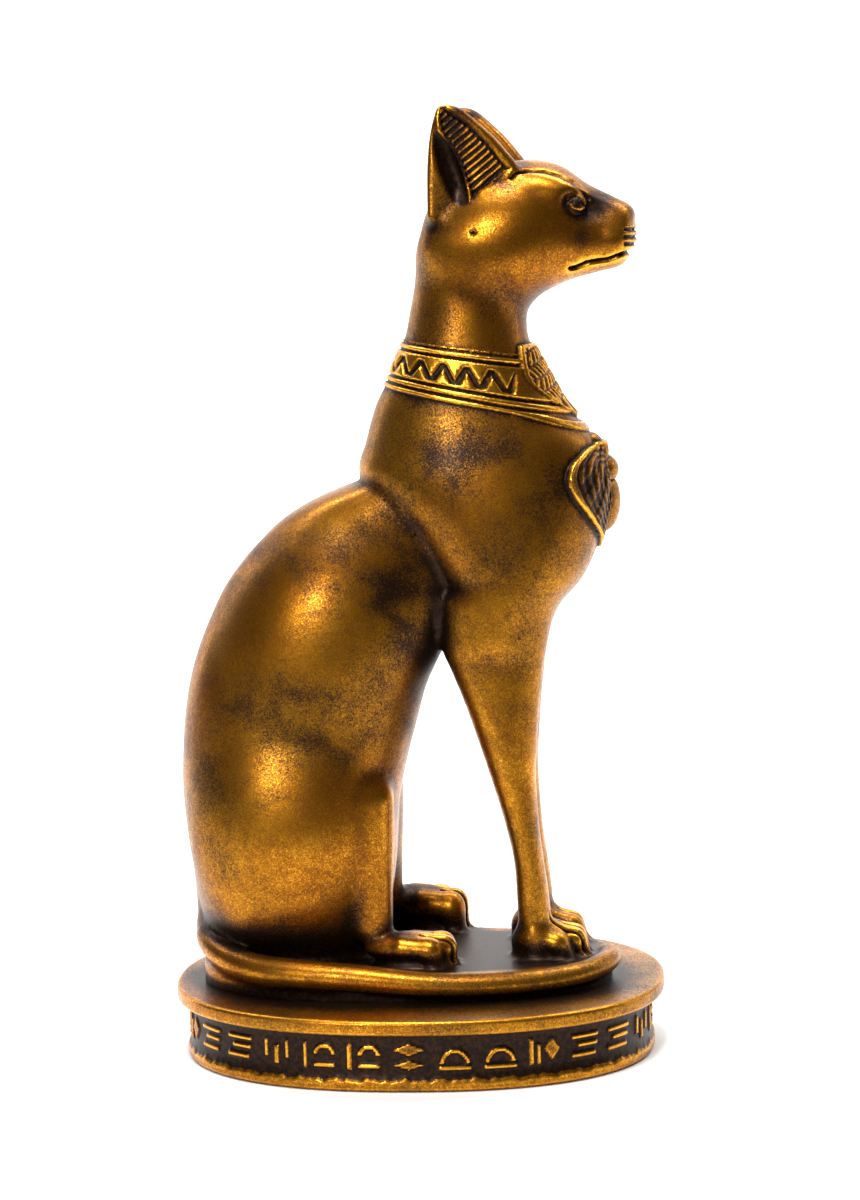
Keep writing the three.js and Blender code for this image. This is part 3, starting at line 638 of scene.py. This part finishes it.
def carving(x, y, z):
    """All the carving of the cat at places in the cat's own frame."""
    hx, hy = head_place(x, y)
    head_share = ease(143.5, 145, z)
    jewels = np.maximum(collar_carving(x, y, z), plate_carving(x, y, z))
    jewels = np.maximum(jewels, pendant_carving(x, y, z)) + scarab_carving(x, y, z)
    face = face_carving(hx, hy, z) + ear_carving(hx, hy, z)
    return np.where(z < 60, toe_carving(x, y, z), np.where(z < 141, jewels, face * head_share))


# Places made darker, partly dark spots of the paint and partly painted shade in creases and under the
# body: place along, height, reach along and up, and how much
DARK_PAINT_AND_SHADE_SPOTS = [
    (-2, 81, 4, 14, 0.4), (-12, 97, 9, 5, 0.18), (-30, 62, 16, 5, 0.22), (-14, 53, 9, 2.5, 0.22),
    (-44, 47, 6, 8, 0.18), (8, 107, 10, 8, 0.16), (13, 143, 10, 5, 0.2), (25, 146, 5, 4, 0.25),
    (23, 8, 3, 4, 0.5), (-36, 14, 12, 4, 0.25), (30, 104, 5, 10, 0.25), (12, 112, 12, 7, 0.22),
    (20, 90, 10, 8, 0.16), (-30, 90, 10, 5, 0.16), (22, 47, 3, 12, 0.1), (2, 127, 8, 3, 0.15),
    (-22, 88, 8, 4, 0.14),
]
FACE_PATINA = [(38.5, 156.5, 1.8, 2.2, 0.4), (41.5, 164, 2.8, 2.4, 0.45)]
EAR_HOLLOW_SHADE = [(12.2, 181), (13.5, 174), (14.6, 166)]
EAR_PANEL_SHADE = [(13.5, 181), (17.5, 175), (20.5, 170)]


def dark_paint_and_shade(x, y, z):
    """Extra darkness, in the cat's own frame: partly the dark paint of the face, eyes and slots, partly
    painted shade in creases, ear hollows and round the slab.
    """
    dark = 0
    drift_x = x + 2.6 * np.sin(0.33 * z + 0.21 * x) + 1.5 * np.sin(0.9 * z + 1 + 0.2 * y)
    drift_z = z + 2.2 * np.sin(0.29 * x + 1 + 0.1 * y) + 1.2 * np.sin(0.8 * x)
    for px, pz, along, up, much in DARK_PAINT_AND_SHADE_SPOTS:
        dark = dark + much * np.exp(-((drift_x - px) / along) ** 2 - ((drift_z - pz) / up) ** 2)
    hx, hy = head_place(x, y)
    for px, pz, along, up, much in FACE_PATINA:
        dark = dark + much * np.exp(-((hx - px) / along) ** 2 - ((z - pz) / up) ** 2)
    eye = 1 - ease(0.8, 1.1, np.hypot((hx - EYE[0]) / 1.15, z - EYE[1]))
    dark = dark + 0.8 * eye * (np.abs(hy) > 4)
    ear = path_distance(hx, z, EAR_HOLLOW_SHADE)
    dark = dark + 0.55 * (1 - ease(0.5, 3.5, ear)) * (np.abs(hy) > 6) * (z > 163)
    panel = path_distance(hx, z, EAR_PANEL_SHADE)
    dark = dark + 0.35 * (1 - ease(1.5, 3.5, panel)) * (np.abs(hy) > 8) * (z > 165)
    for slot in whisker_slots(hx, z):
        dark = dark + 0.8 * (1 - ease(0.2, 0.6, slot)) * ease(46.5, MUZZLE_END, hx)
    dark = dark + 0.5 * (1 - ease(0.3, 0.8, path_distance(hx, z, MOUTH))) * (hx > FACE_START)
    inner = np.minimum(pendant_half(z) - np.abs(y), np.minimum(z - PENDANT_FOOT, PENDANT_TOP - z))
    dark = dark + 0.35 * ease(0.8, 1.6, inner) * (x > 28) * ease(3.0, 4.5, np.abs(y))
    # Painted shade on the slab's top inside the tail, over the dark ground of the paint there
    slab = slab_oval(x, y + CAT_SHIFT)
    dark = dark + 0.5 * ease(0.4, 1.2, -slab - TAIL_THICKNESS * 0.6) * (1 - ease(SLAB_HEIGHT, 6.4, z))
    # Darker towards the bottom: painted shade under the tail roll, over the dark wash in that recess
    return dark + 0.6 * (1 - ease(1.2, 2.6, z))


# Meshing
def stations(low, high, step_at):
    """Grid lines from low to high, with a step for each place."""
    line = [low]
    while line[-1] < high:
        line.append(line[-1] + step_at(line[-1]))
    return np.array(line)


def skin(form, lines):
    """Closed mesh of a form: one point in every grid cell that its surface crosses."""
    size = [len(line) for line in lines]
    field = np.empty(size, np.float32)
    for start in range(0, size[2], 12):
        grid = np.meshgrid(lines[0], lines[1], lines[2][start:start + 12], indexing="ij")
        field[:, :, start:start + 12] = form(*grid)
    inside = field < 0
    count = np.zeros([n - 1 for n in size], np.int8)
    for i in (0, 1):
        for j in (0, 1):
            for k in (0, 1):
                count += inside[i:size[0] - 1 + i, j:size[1] - 1 + j, k:size[2] - 1 + k]
    cells = np.argwhere((count > 0) & (count < 8))
    number = np.full(count.shape, -1)
    number[tuple(cells.T)] = np.arange(len(cells))
    total = np.zeros((len(cells), 3))
    found = np.zeros(len(cells))
    for axis in range(3):
        others = [a for a in range(3) if a != axis]
        for u in (0, 1):
            for v in (0, 1):
                near = cells.copy()
                near[:, others[0]] += u
                near[:, others[1]] += v
                far = near.copy()
                far[:, axis] += 1
                a, b = field[tuple(near.T)], field[tuple(far.T)]
                cut = (a < 0) != (b < 0)
                share = np.where(cut, a / np.where(cut, a - b, 1), 0)
                place = np.stack([lines[n][near[:, n]] for n in range(3)], 1)
                width = lines[axis][far[:, axis]] - lines[axis][near[:, axis]]
                place[:, axis] += share * width
                total[cut] += place[cut]
                found[cut] += 1
    points = total / found[:, None]
    quads = []
    for axis in range(3):
        u, v = (axis + 1) % 3, (axis + 2) % 3
        low = [slice(0, n) for n in size]
        high = [slice(0, n) for n in size]
        low[axis] = slice(0, size[axis] - 1)
        high[axis] = slice(1, size[axis])
        crossed = inside[tuple(low)] != inside[tuple(high)]
        inner = [slice(0, n) for n in crossed.shape]
        inner[u] = slice(1, size[u] - 1)
        inner[v] = slice(1, size[v] - 1)
        kept = np.zeros_like(crossed)
        kept[tuple(inner)] = crossed[tuple(inner)]
        edges = np.argwhere(kept)
        corners = []
        for du, dv in ((1, 1), (0, 1), (0, 0), (1, 0)):
            cell = edges.copy()
            cell[:, u] -= du
            cell[:, v] -= dv
            corners.append(number[tuple(cell.T)])
        quad = np.stack(corners, 1)
        flip = inside[tuple(high)][tuple(edges.T)]
        quad[flip] = quad[flip][:, ::-1]
        quads.append(quad)
    quads = np.concatenate(quads)
    return points, np.concatenate([quads[:, [0, 1, 2]], quads[:, [0, 2, 3]]])


def steepest(form, points, small=0.04):
    """Slope of a form at points."""
    slope = np.empty_like(points)
    for axis in range(3):
        shift = np.zeros(3)
        shift[axis] = small
        slope[:, axis] = (form(*(points + shift).T) - form(*(points - shift).T)) / (2 * small)
    return slope


def settle(form, points, rounds, reach):
    """Move points to a form's surface, at most this reach in a round."""
    for _ in range(rounds):
        slope = steepest(form, points)
        steep = np.maximum((slope * slope).sum(1), 0.1)
        move = slope * (form(*points.T) / steep)[:, None]
        length = np.linalg.norm(move, axis=1)
        points = points - move * np.minimum(1, reach / np.maximum(length, 1e-9))[:, None]
    return points


def split(points, faces, wanted):
    """Cut every wanted edge in two, with the triangles round it."""
    sides = np.sort(np.concatenate([faces[:, [0, 1]], faces[:, [1, 2]], faces[:, [2, 0]]]), axis=1)
    edges, back = np.unique(sides, axis=0, return_inverse=True)
    marked = wanted(points[edges[:, 0]], points[edges[:, 1]])
    fresh = np.full(len(edges), -1)
    fresh[marked] = len(points) + np.arange(marked.sum())
    middle = (points[edges[marked, 0]] + points[edges[marked, 1]]) / 2
    mids = fresh[back.reshape(3, -1).T]
    code = (mids >= 0) @ np.array([1, 2, 4])
    made = [faces[code == 0]]
    for turn in range(3):
        order = [turn, (turn + 1) % 3, (turn + 2) % 3]
        one = code == 1 << turn
        a, b, c = faces[one][:, order].T
        m = mids[one][:, turn]
        made += [np.stack([a, m, c], 1), np.stack([m, b, c], 1)]
        two = code == (1 << turn) + (1 << (turn + 1) % 3)
        a, b, c = faces[two][:, order].T
        m, n = mids[two][:, turn], mids[two][:, (turn + 1) % 3]
        made += [np.stack([m, b, n], 1), np.stack([a, m, n], 1), np.stack([a, n, c], 1)]
    every = code == 7
    a, b, c = faces[every].T
    m, n, o = mids[every].T
    made += [np.stack(t, 1) for t in ((a, m, o), (m, b, n), (o, n, c), (m, n, o))]
    return np.concatenate([points, middle]), np.concatenate(made)


def point_normals(points, faces):
    a, b, c = (points[faces[:, n]] for n in range(3))
    across = np.cross(b - a, c - a)
    normal = np.zeros_like(points)
    for corner in range(3):
        for axis in range(3):
            normal[:, axis] += np.bincount(faces[:, corner], across[:, axis], len(points))
    return normal / np.maximum(np.linalg.norm(normal, axis=1), 1e-12)[:, None]


def neighbour_mean(values, faces):
    """Mean over the points that share an edge with each point."""
    total = np.zeros_like(values)
    count = np.zeros(len(values))
    for first, second in ((0, 1), (1, 2), (2, 0), (1, 0), (2, 1), (0, 2)):
        count += np.bincount(faces[:, first], minlength=len(values))
        if values.ndim == 1:
            total += np.bincount(faces[:, first], values[faces[:, second]], len(values))
            continue
        for axis in range(values.shape[1]):
            total[:, axis] += np.bincount(faces[:, first], values[faces[:, second], axis], len(values))
    return total / (count if values.ndim == 1 else count[:, None])


def hollowness(points, faces, normal, rounds):
    """Positive in grooves and negative on edges, in shares of a strong bend."""
    lean = ((neighbour_mean(points, faces) - points) * normal).sum(1)
    size = np.linalg.norm(neighbour_mean(points, faces) - points, axis=1) + 0.12
    value = lean / size
    for _ in range(rounds):
        value = 0.5 * value + 0.5 * neighbour_mean(value, faces)
    return value


def wanted_edge(x, y, z):
    """Length of edge that each place of the figure needs for its form."""
    y = y - CAT_SHIFT
    hx, hy = head_place(x, y)
    edge = np.full(np.shape(x), 1.7)
    edge = np.where((z < 16) & (z > 1) & (x > -14), 0.85, edge)
    edge = np.where((z > 112) & (z < 137.5), 0.8, edge)
    edge = np.where((z > 90) & (z < 119) & (x > 28) & (np.abs(y) < 15), 0.55, edge)
    edge = np.where((z > 119) & (z < 136) & (x > 14) & (np.abs(y) < 11), 0.5, edge)
    edge = np.where(z > 144, 1.2, edge)
    edge = np.where((z > 161) & (hx < 26) & (np.abs(hy) > 6), 0.7, edge)
    edge = np.where((z > 148) & (hx > 33), 0.7, edge)
    return edge


def cat_place(points):
    """The three columns of points, in the cat's own frame."""
    return (points - np.array([0, CAT_SHIFT, 0])).T


def rooted(x, y, z):
    """The figure, which ends a little below the plinth's top."""
    return np.maximum(figure(x, y, z), -ROOT_DEPTH - z)


def too_long(a, b):
    middle = (a + b) / 2
    return np.linalg.norm(a - b, axis=1) > 1.25 * wanted_edge(*middle.T)


def carved_between(a, b):
    """Edges across which the carving rises or falls sharply."""
    low, mid, high = (carving(*cat_place(points)) for points in (a, (a + b) / 2, b))
    bent = np.maximum(np.abs(low - high), 2 * np.abs(mid - (low + high) / 2))
    return (bent > CARVING_STEP) & (np.linalg.norm(a - b, axis=1) > FINEST_EDGE)


def figure_mesh():
    step = 1.25
    fine = 0.9
    lines = [
        stations(-54, 54, lambda at: step),
        stations(-31, 31, lambda at: step),
        stations(-3.4, 187, lambda at: fine if at < 16 or at > 160 else step),
    ]
    points, faces = skin(rooted, lines)
    points = settle(rooted, points, 2, 0.6)
    for wanted in (too_long, too_long, carved_between, carved_between):
        points, faces = split(points, faces, wanted)
        points = settle(rooted, points, 1, 0.3)
    normal = point_normals(points, faces)
    relief = carving(*cat_place(points))
    return points, points + normal * relief[:, None], faces, relief


def occlusion(form, points, normal):
    """How much of the sky near forms hide, from 0 in the open to 1 in a slot."""
    total = 0
    for reach, share in ((1.5, 0.3), (4.0, 0.35), (9.0, 0.35)):
        clear = form(*(points + normal * reach).T)
        total = total + share * np.clip(1 - clear / reach, 0, 1)
    return total


def mesh_object(name, points, faces, attributes, material):
    """A piece from points in millimetres, with values at each point for its material."""
    mesh = bpy.data.meshes.new(name)
    mesh.from_pydata((points / 1000).tolist(), [], faces.tolist())
    mesh.update()
    for label, values in attributes.items():
        layer = mesh.attributes.new(label, "FLOAT", "POINT")
        layer.data.foreach_set("value", np.asarray(values, np.float32))
    mesh.polygons.foreach_set("use_smooth", [True] * len(mesh.polygons))
    mesh.materials.append(material)
    piece = bpy.data.objects.new(name, mesh)
    bpy.context.scene.collection.objects.link(piece)
    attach(piece, "root")
    return piece


# Plinth
def band_strokes(along, level):
    """Rows of short raised strokes round the band: bars, posts, arches and lozenges, no letters."""
    cell = np.floor(along / SIGN_PITCH)
    u = along - (cell + 0.5) * SIGN_PITCH
    kind = np.mod(cell * 5 + np.floor(cell / 3), 6)
    v = level - SIGN_LEVEL

    def bar(middle, height, half):
        return np.maximum(np.abs(u - middle) - half, np.abs(v - height) - STROKE_HALF)

    def post(middle, height, half):
        return np.maximum(np.abs(u - middle) - STROKE_HALF, np.abs(v - height) - half)

    def bow(middle, height, radius):
        ring = np.abs(np.hypot(u - middle, v - height) - radius) - STROKE_HALF
        return np.maximum(ring, height - v)

    def lozenge(middle, height, half, half_height):
        return (np.abs(u - middle) / half + np.abs(v - height) / half_height - 1) * 0.8

    signs = [
        [bar(0, 1.9, 3.2), bar(0.6, 0.1, 2.4), bar(-0.4, -1.8, 2.9)],
        [post(-2.9, 0, 2.6), post(-1.3, -0.6, 2.0), lozenge(1.6, 0.3, 1.7, 2.3)],
        [bow(0, -1.6, 2.7), bar(0, -2.3, 3.4)],
        [lozenge(0, 1.5, 3.3, 1.3), lozenge(0, -1.7, 3.0, 1.0)],
        [post(-2.9, 0, 2.6), bow(1.2, 0.2, 1.9), bar(1.2, -1.9, 2.2)],
        [post(-2.4, 0.8, 1.8), post(0, -0.6, 1.9), post(2.4, 0.8, 1.8)],
    ]
    distance = np.choose(kind.astype(int), [np.minimum.reduce(strokes) for strokes in signs])
    return 1 - ease(-0.12, 0.22, distance)


def plinth_outline(inset, angle):
    """Places on the plinth's outline, moved in by the inset."""
    cos, sin = np.cos(angle), np.sin(angle)
    x = (PLINTH_LENGTH / 2 - inset) * np.sign(cos) * np.abs(cos) ** (2 / PLINTH_SQUARENESS)
    y = (PLINTH_WIDTH / 2 - inset) * np.sign(sin) * np.abs(sin) ** (2 / PLINTH_SQUARENESS)
    return x, y


def plinth_profile():
    """Rows of inset and height, from under the plinth round its side to its top."""
    rim_foot = PLINTH_HEIGHT - RIM_HEIGHT
    middle = (LIP_HEIGHT + rim_foot) / 2
    hollow = RIM_OVERHANG + BAND_HOLLOW
    half = (rim_foot - LIP_HEIGHT) / 2
    rows = [(LIP_INSET + 12, 0.0), (LIP_INSET + FOOT_CHAMFER, 0.0)]
    for turn in np.linspace(0, math.pi / 2, 5)[1:]:
        rows.append((LIP_INSET + FOOT_CHAMFER * (1 - math.sin(turn)), FOOT_CHAMFER * (1 - math.cos(turn))))
    rows.append((LIP_INSET, LIP_HEIGHT - 0.5))
    rows.append((LIP_INSET + 0.2, LIP_HEIGHT - 0.15))
    for share in np.linspace(-1, 1, 23):
        inset = hollow - 0.5 * share**4 - 0.1 * share**2
        rows.append((inset, middle + share * half))
    rows.append((RIM_OVERHANG, rim_foot + 0.15))
    for turn in np.linspace(-math.pi / 2, 0, 5):
        rows.append((RIM_ROUND * (1 - math.cos(turn)), rim_foot + RIM_ROUND * (1 + math.sin(turn)) + 0.1))
    for turn in np.linspace(0, math.pi / 2, 6):
        rows.append((RIM_ROUND * (1 - math.cos(turn)), PLINTH_HEIGHT - RIM_ROUND * (1 - math.sin(turn))))
    rows += [(inset, PLINTH_HEIGHT) for inset in (1.6, 3.0, 6.0, 10.0, 16.0, 26.0)]
    return np.array(rows)


def plinth_mesh():
    sides = 760
    rough = np.linspace(0, 2 * math.pi, 4001)
    x, y = plinth_outline(2.5, rough)
    walked = np.concatenate([[0], np.cumsum(np.hypot(np.diff(x), np.diff(y)))])
    along = np.arange(sides) / sides * walked[-1]
    angle = np.interp(along, walked, rough)
    profile = plinth_profile()
    inset = profile[:, 0][:, None] + np.zeros(sides)
    level = profile[:, 1][:, None] + np.zeros(sides)
    walk = along[None, :] + np.zeros_like(level)
    on_band = (level > LIP_HEIGHT + 0.3) & (level < PLINTH_HEIGHT - RIM_HEIGHT - 0.2)
    stroke = band_strokes(walk * SIGN_PITCH * SIGN_COUNT / walked[-1], level) * on_band
    wave = 0.16 * np.sin(walk * 0.9) + 0.14 * np.sin(walk * 1.7 + 1) + 0.1 * np.sin(walk * 3.1)
    lip = np.exp(-(((level - LIP_HEIGHT) / 0.7) ** 2))
    x, y = plinth_outline(inset - STROKE_RELIEF * stroke, angle[None, :] + np.zeros_like(inset))
    points = np.stack([x, y, level + lip * wave], -1).reshape(-1, 3)
    rows = len(profile)
    row, side = np.meshgrid(np.arange(rows - 1), np.arange(sides), indexing="ij")
    a = (row * sides + side).ravel()
    b = (row * sides + (side + 1) % sides).ravel()
    faces = np.concatenate([np.stack([a, b, b + sides], 1), np.stack([a, b + sides, a + sides], 1)])
    floor = len(points)
    points = np.concatenate([points, [[0, 0, 0], [0, 0, PLINTH_HEIGHT]]])
    ring = np.arange(sides)
    after = (ring + 1) % sides
    top = (rows - 1) * sides
    caps = [
        np.stack([after, ring, np.full(sides, floor)], 1),
        np.stack([ring + top, after + top, np.full(sides, floor + 1)], 1),
    ]
    ground = (on_band * (1 - stroke)).ravel()
    return points, np.concatenate([faces, *caps]), np.concatenate([ground, [0, 0]])


# Antique gold: metallic paint rubbed over a dark brown ground, darkened further by painted shade carried
# in the mesh's attributes
def antique_gold():
    material = bpy.data.materials.new("antique_gold")
    material.use_nodes = True
    nodes = material.node_tree.nodes
    links = material.node_tree.links
    nodes.clear()

    def node(kind, **values):
        made = nodes.new(kind)
        for key, value in values.items():
            setattr(made, key, value)
        return made

    def noise(scale, detail, roughness, distortion=0.0):
        made = node("ShaderNodeTexNoise")
        made.inputs["Scale"].default_value = scale
        made.inputs["Detail"].default_value = detail
        made.inputs["Roughness"].default_value = roughness
        made.inputs["Distortion"].default_value = distortion
        links.new(coordinates.outputs["Object"], made.inputs["Vector"])
        return made.outputs["Fac"]

    def ramp(source, low, high):
        made = node("ShaderNodeMapRange", interpolation_type="SMOOTHSTEP")
        made.inputs["From Min"].default_value = low
        made.inputs["From Max"].default_value = high
        links.new(source, made.inputs["Value"])
        return made.outputs["Result"]

    def combine(operation, first, second, third=None):
        made = node("ShaderNodeMath", operation=operation)
        for index, value in enumerate((first, second, third)):
            if value is None:
                continue
            if isinstance(value, (int, float)):
                made.inputs[index].default_value = value
            else:
                links.new(value, made.inputs[index])
        return made.outputs[0]

    def mix(share, first, second):
        made = node("ShaderNodeMix", data_type="RGBA")
        for index, value in ((0, share), (6, first), (7, second)):
            if isinstance(value, tuple):
                made.inputs[index].default_value = (*value, 1)
            elif isinstance(value, (int, float)):
                made.inputs[index].default_value = value
            else:
                links.new(value, made.inputs[index])
        return made.outputs[2]

    coordinates = node("ShaderNodeTexCoord")
    # Painted shade from nearby forms, with the dark spots of the paint, carried by the mesh
    shade_and_dark_paint = node("ShaderNodeAttribute", attribute_name="shade_and_dark_paint").outputs["Fac"]
    hollow = node("ShaderNodeAttribute", attribute_name="hollow").outputs["Fac"]
    grain = noise(3200, 1, 0.6)
    fleck = noise(1100, 3, 0.7)
    cloud = noise(90, 7, 0.68, 0.3)
    wash = noise(26, 3, 0.55, 0.2)
    # How dark the paint is at each place: painted shade and dark spots from the mesh, dark wash in the
    # grooves, and mottled noise
    paint_darkness_and_shade = combine("MULTIPLY_ADD", shade_and_dark_paint, 1.1, combine("SUBTRACT", hollow, 0.04))
    for source, share in ((cloud, 0.8), (wash, 0.8), (fleck, 0.6), (grain, 1.1)):
        paint_darkness_and_shade = combine("MULTIPLY_ADD", combine("SUBTRACT", source, 0.5), share, paint_darkness_and_shade)
    # Share of gold over the dark ground, lower where shade is painted
    gold_share_after_shade = ramp(paint_darkness_and_shade, 0.48, -0.62)
    gold = mix(ramp(wash, 0.35, 0.65), DEEP_GOLD, WARM_GOLD)
    gold = mix(ramp(paint_darkness_and_shade, -0.1, -0.8), gold, RUBBED_GOLD)
    gold = mix(ramp(grain, 0.6, 0.85), gold, GRAIN_GOLD)
    brown = mix(ramp(fleck, 0.35, 0.7), DARK_GROUND, LIGHT_GROUND)
    colour = mix(gold_share_after_shade, brown, gold)
    shader = node("ShaderNodeBsdfPrincipled")
    links.new(colour, shader.inputs["Base Color"])
    links.new(combine("MULTIPLY_ADD", gold_share_after_shade, 0.2, 0.78), shader.inputs["Metallic"])
    rough = combine("MULTIPLY_ADD", combine("SUBTRACT", 1.0, gold_share_after_shade), 0.16, 0.25)
    links.new(combine("MULTIPLY_ADD", grain, 0.1, rough), shader.inputs["Roughness"])
    shader.inputs["Coat Weight"].default_value = 0.03
    shader.inputs["Coat Roughness"].default_value = 0.22
    bump = node("ShaderNodeBump")
    bump.inputs["Strength"].default_value = 0.14
    bump.inputs["Distance"].default_value = 0.0002
    links.new(combine("MULTIPLY_ADD", grain, 0.5, fleck), bump.inputs["Height"])
    links.new(bump.outputs["Normal"], shader.inputs["Normal"])
    out = node("ShaderNodeOutputMaterial")
    links.new(shader.outputs["BSDF"], out.inputs["Surface"])
    return material


def plain_material(name, colour, roughness):
    material = bpy.data.materials.new(name)
    material.use_nodes = True
    shader = material.node_tree.nodes["Principled BSDF"]
    shader.inputs["Base Color"].default_value = (*colour, 1)
    shader.inputs["Roughness"].default_value = roughness
    return material


def build_statue():
    gold = antique_gold()
    smooth, raised, faces, relief = figure_mesh()
    # Painted shade where nearby forms hide the sky, plus the dark spots of the paint and the painted shade
    # placed in the cat's own frame
    shade_and_dark_paint = occlusion(figure, smooth, point_normals(smooth, faces))
    shade_and_dark_paint = shade_and_dark_paint + dark_paint_and_shade(*cat_place(smooth))
    ground = relief
    for _ in range(9):
        ground = 0.3 * ground + 0.7 * neighbour_mean(ground, faces)
    hollow = 2.1 * (ground - relief) + 0.6 * hollowness(raised, faces, point_normals(raised, faces), 1)
    lifted = raised + np.array([0, 0, PLINTH_HEIGHT])
    lifted[:, 2] = np.minimum(lifted[:, 2], cad_box[1][2] * 1000 - TOP_MARGIN)
    cat_piece = mesh_object("cat", lifted, faces, {"shade_and_dark_paint": shade_and_dark_paint, "hollow": hollow}, gold)
    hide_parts("cat_on_plinth")
    points, sides, ground = plinth_mesh()
    normal = point_normals(points, sides)
    above = points - np.array([0, 0, PLINTH_HEIGHT])
    # Painted shade of the figure on the plinth's top, plus the dark ground between the band's strokes
    shade = occlusion(figure, above, normal) * (points[:, 2] > PLINTH_HEIGHT - 1)
    shade = shade + 0.95 * ground
    hollow = hollowness(points, sides, normal, 0) * (points[:, 2] > 0.5)
    mesh_object("plinth", points, sides, {"shade_and_dark_paint": shade, "hollow": hollow}, gold)
    print("triangles", len(faces), len(sides))


def build_stage():
    """A pale floor that sweeps up behind the statue."""
    rows = [(FLOOR_START, 0.0), (FLOOR_TURN, 0.0)]
    for turn in np.linspace(0, math.pi / 2, 13)[1:]:
        rise = FLOOR_RADIUS - FLOOR_RADIUS * math.cos(turn)
        rows.append((FLOOR_TURN + FLOOR_RADIUS * math.sin(turn), rise))
    rows.append((FLOOR_TURN + FLOOR_RADIUS, FLOOR_REACH))
    points = np.array([(x, y, z) for y, z in rows for x in (-FLOOR_REACH, FLOOR_REACH)])
    faces = [(2 * n, 2 * n + 1, 2 * n + 3, 2 * n + 2) for n in range(len(rows) - 1)]
    mesh = bpy.data.meshes.new("sweep")
    mesh.from_pydata(points.tolist(), [], faces)
    mesh.polygons.foreach_set("use_smooth", [True] * len(faces))
    mesh.materials.append(plain_material("pale_sweep", PALE_FLOOR, 0.8))
    sweep = bpy.data.objects.new("sweep", mesh)
    bpy.context.scene.collection.objects.link(sweep)


def add_light(name, place, aim, size, power):
    lamp = bpy.data.lights.new(name, "AREA")
    lamp.shape = "RECTANGLE"
    lamp.size, lamp.size_y = size
    lamp.energy = power
    holder = bpy.data.objects.new(name, lamp)
    holder.location = place
    direction = np.array(aim) - np.array(place)
    holder.rotation_euler = Vector(direction).to_track_quat("-Z", "Y").to_euler()
    bpy.context.scene.collection.objects.link(holder)


def build_lights():
    world = bpy.data.worlds.new("studio")
    world.use_nodes = True
    background = world.node_tree.nodes["Background"]
    background.inputs["Color"].default_value = (1, 1, 1, 1)
    background.inputs["Strength"].default_value = WORLD_STRENGTH
    bpy.context.scene.world = world
    bpy.context.scene.view_settings.view_transform = "Standard"
    for light in LIGHTS:
        add_light(*light)


def build_camera():
    azimuth, roll = math.radians(CAMERA_AZIMUTH), math.radians(CAMERA_ROLL)
    target = np.array(CAMERA_TARGET)
    pitch = math.atan2(CAMERA_HEIGHT - target[2], CAMERA_DISTANCE)
    ahead = np.array([
        -math.sin(azimuth) * math.cos(pitch), math.cos(azimuth) * math.cos(pitch), -math.sin(pitch),
    ])
    right = np.array([math.cos(azimuth), math.sin(azimuth), 0])
    up = np.cross(right, ahead)
    right, up = (
        math.cos(roll) * right + math.sin(roll) * up,
        math.cos(roll) * up - math.sin(roll) * right,
    )
    place = target - ahead * CAMERA_DISTANCE / math.cos(pitch)
    data = bpy.data.cameras.new("camera")
    data.sensor_width = SENSOR
    data.lens = FOCAL_PIXELS / FRAME_PIXELS * SENSOR
    data.clip_start = 0.01
    data.clip_end = 50
    holder = bpy.data.objects.new("camera", data)
    matrix = np.eye(4)
    matrix[:3, 0], matrix[:3, 1], matrix[:3, 2] = right, up, -ahead
    matrix[:3, 3] = place / 1000
    holder.matrix_world = Matrix(matrix.tolist())
    bpy.context.scene.collection.objects.link(holder)
    bpy.context.scene.camera = holder


build_camera()
build_statue()
build_stage()
build_lights()
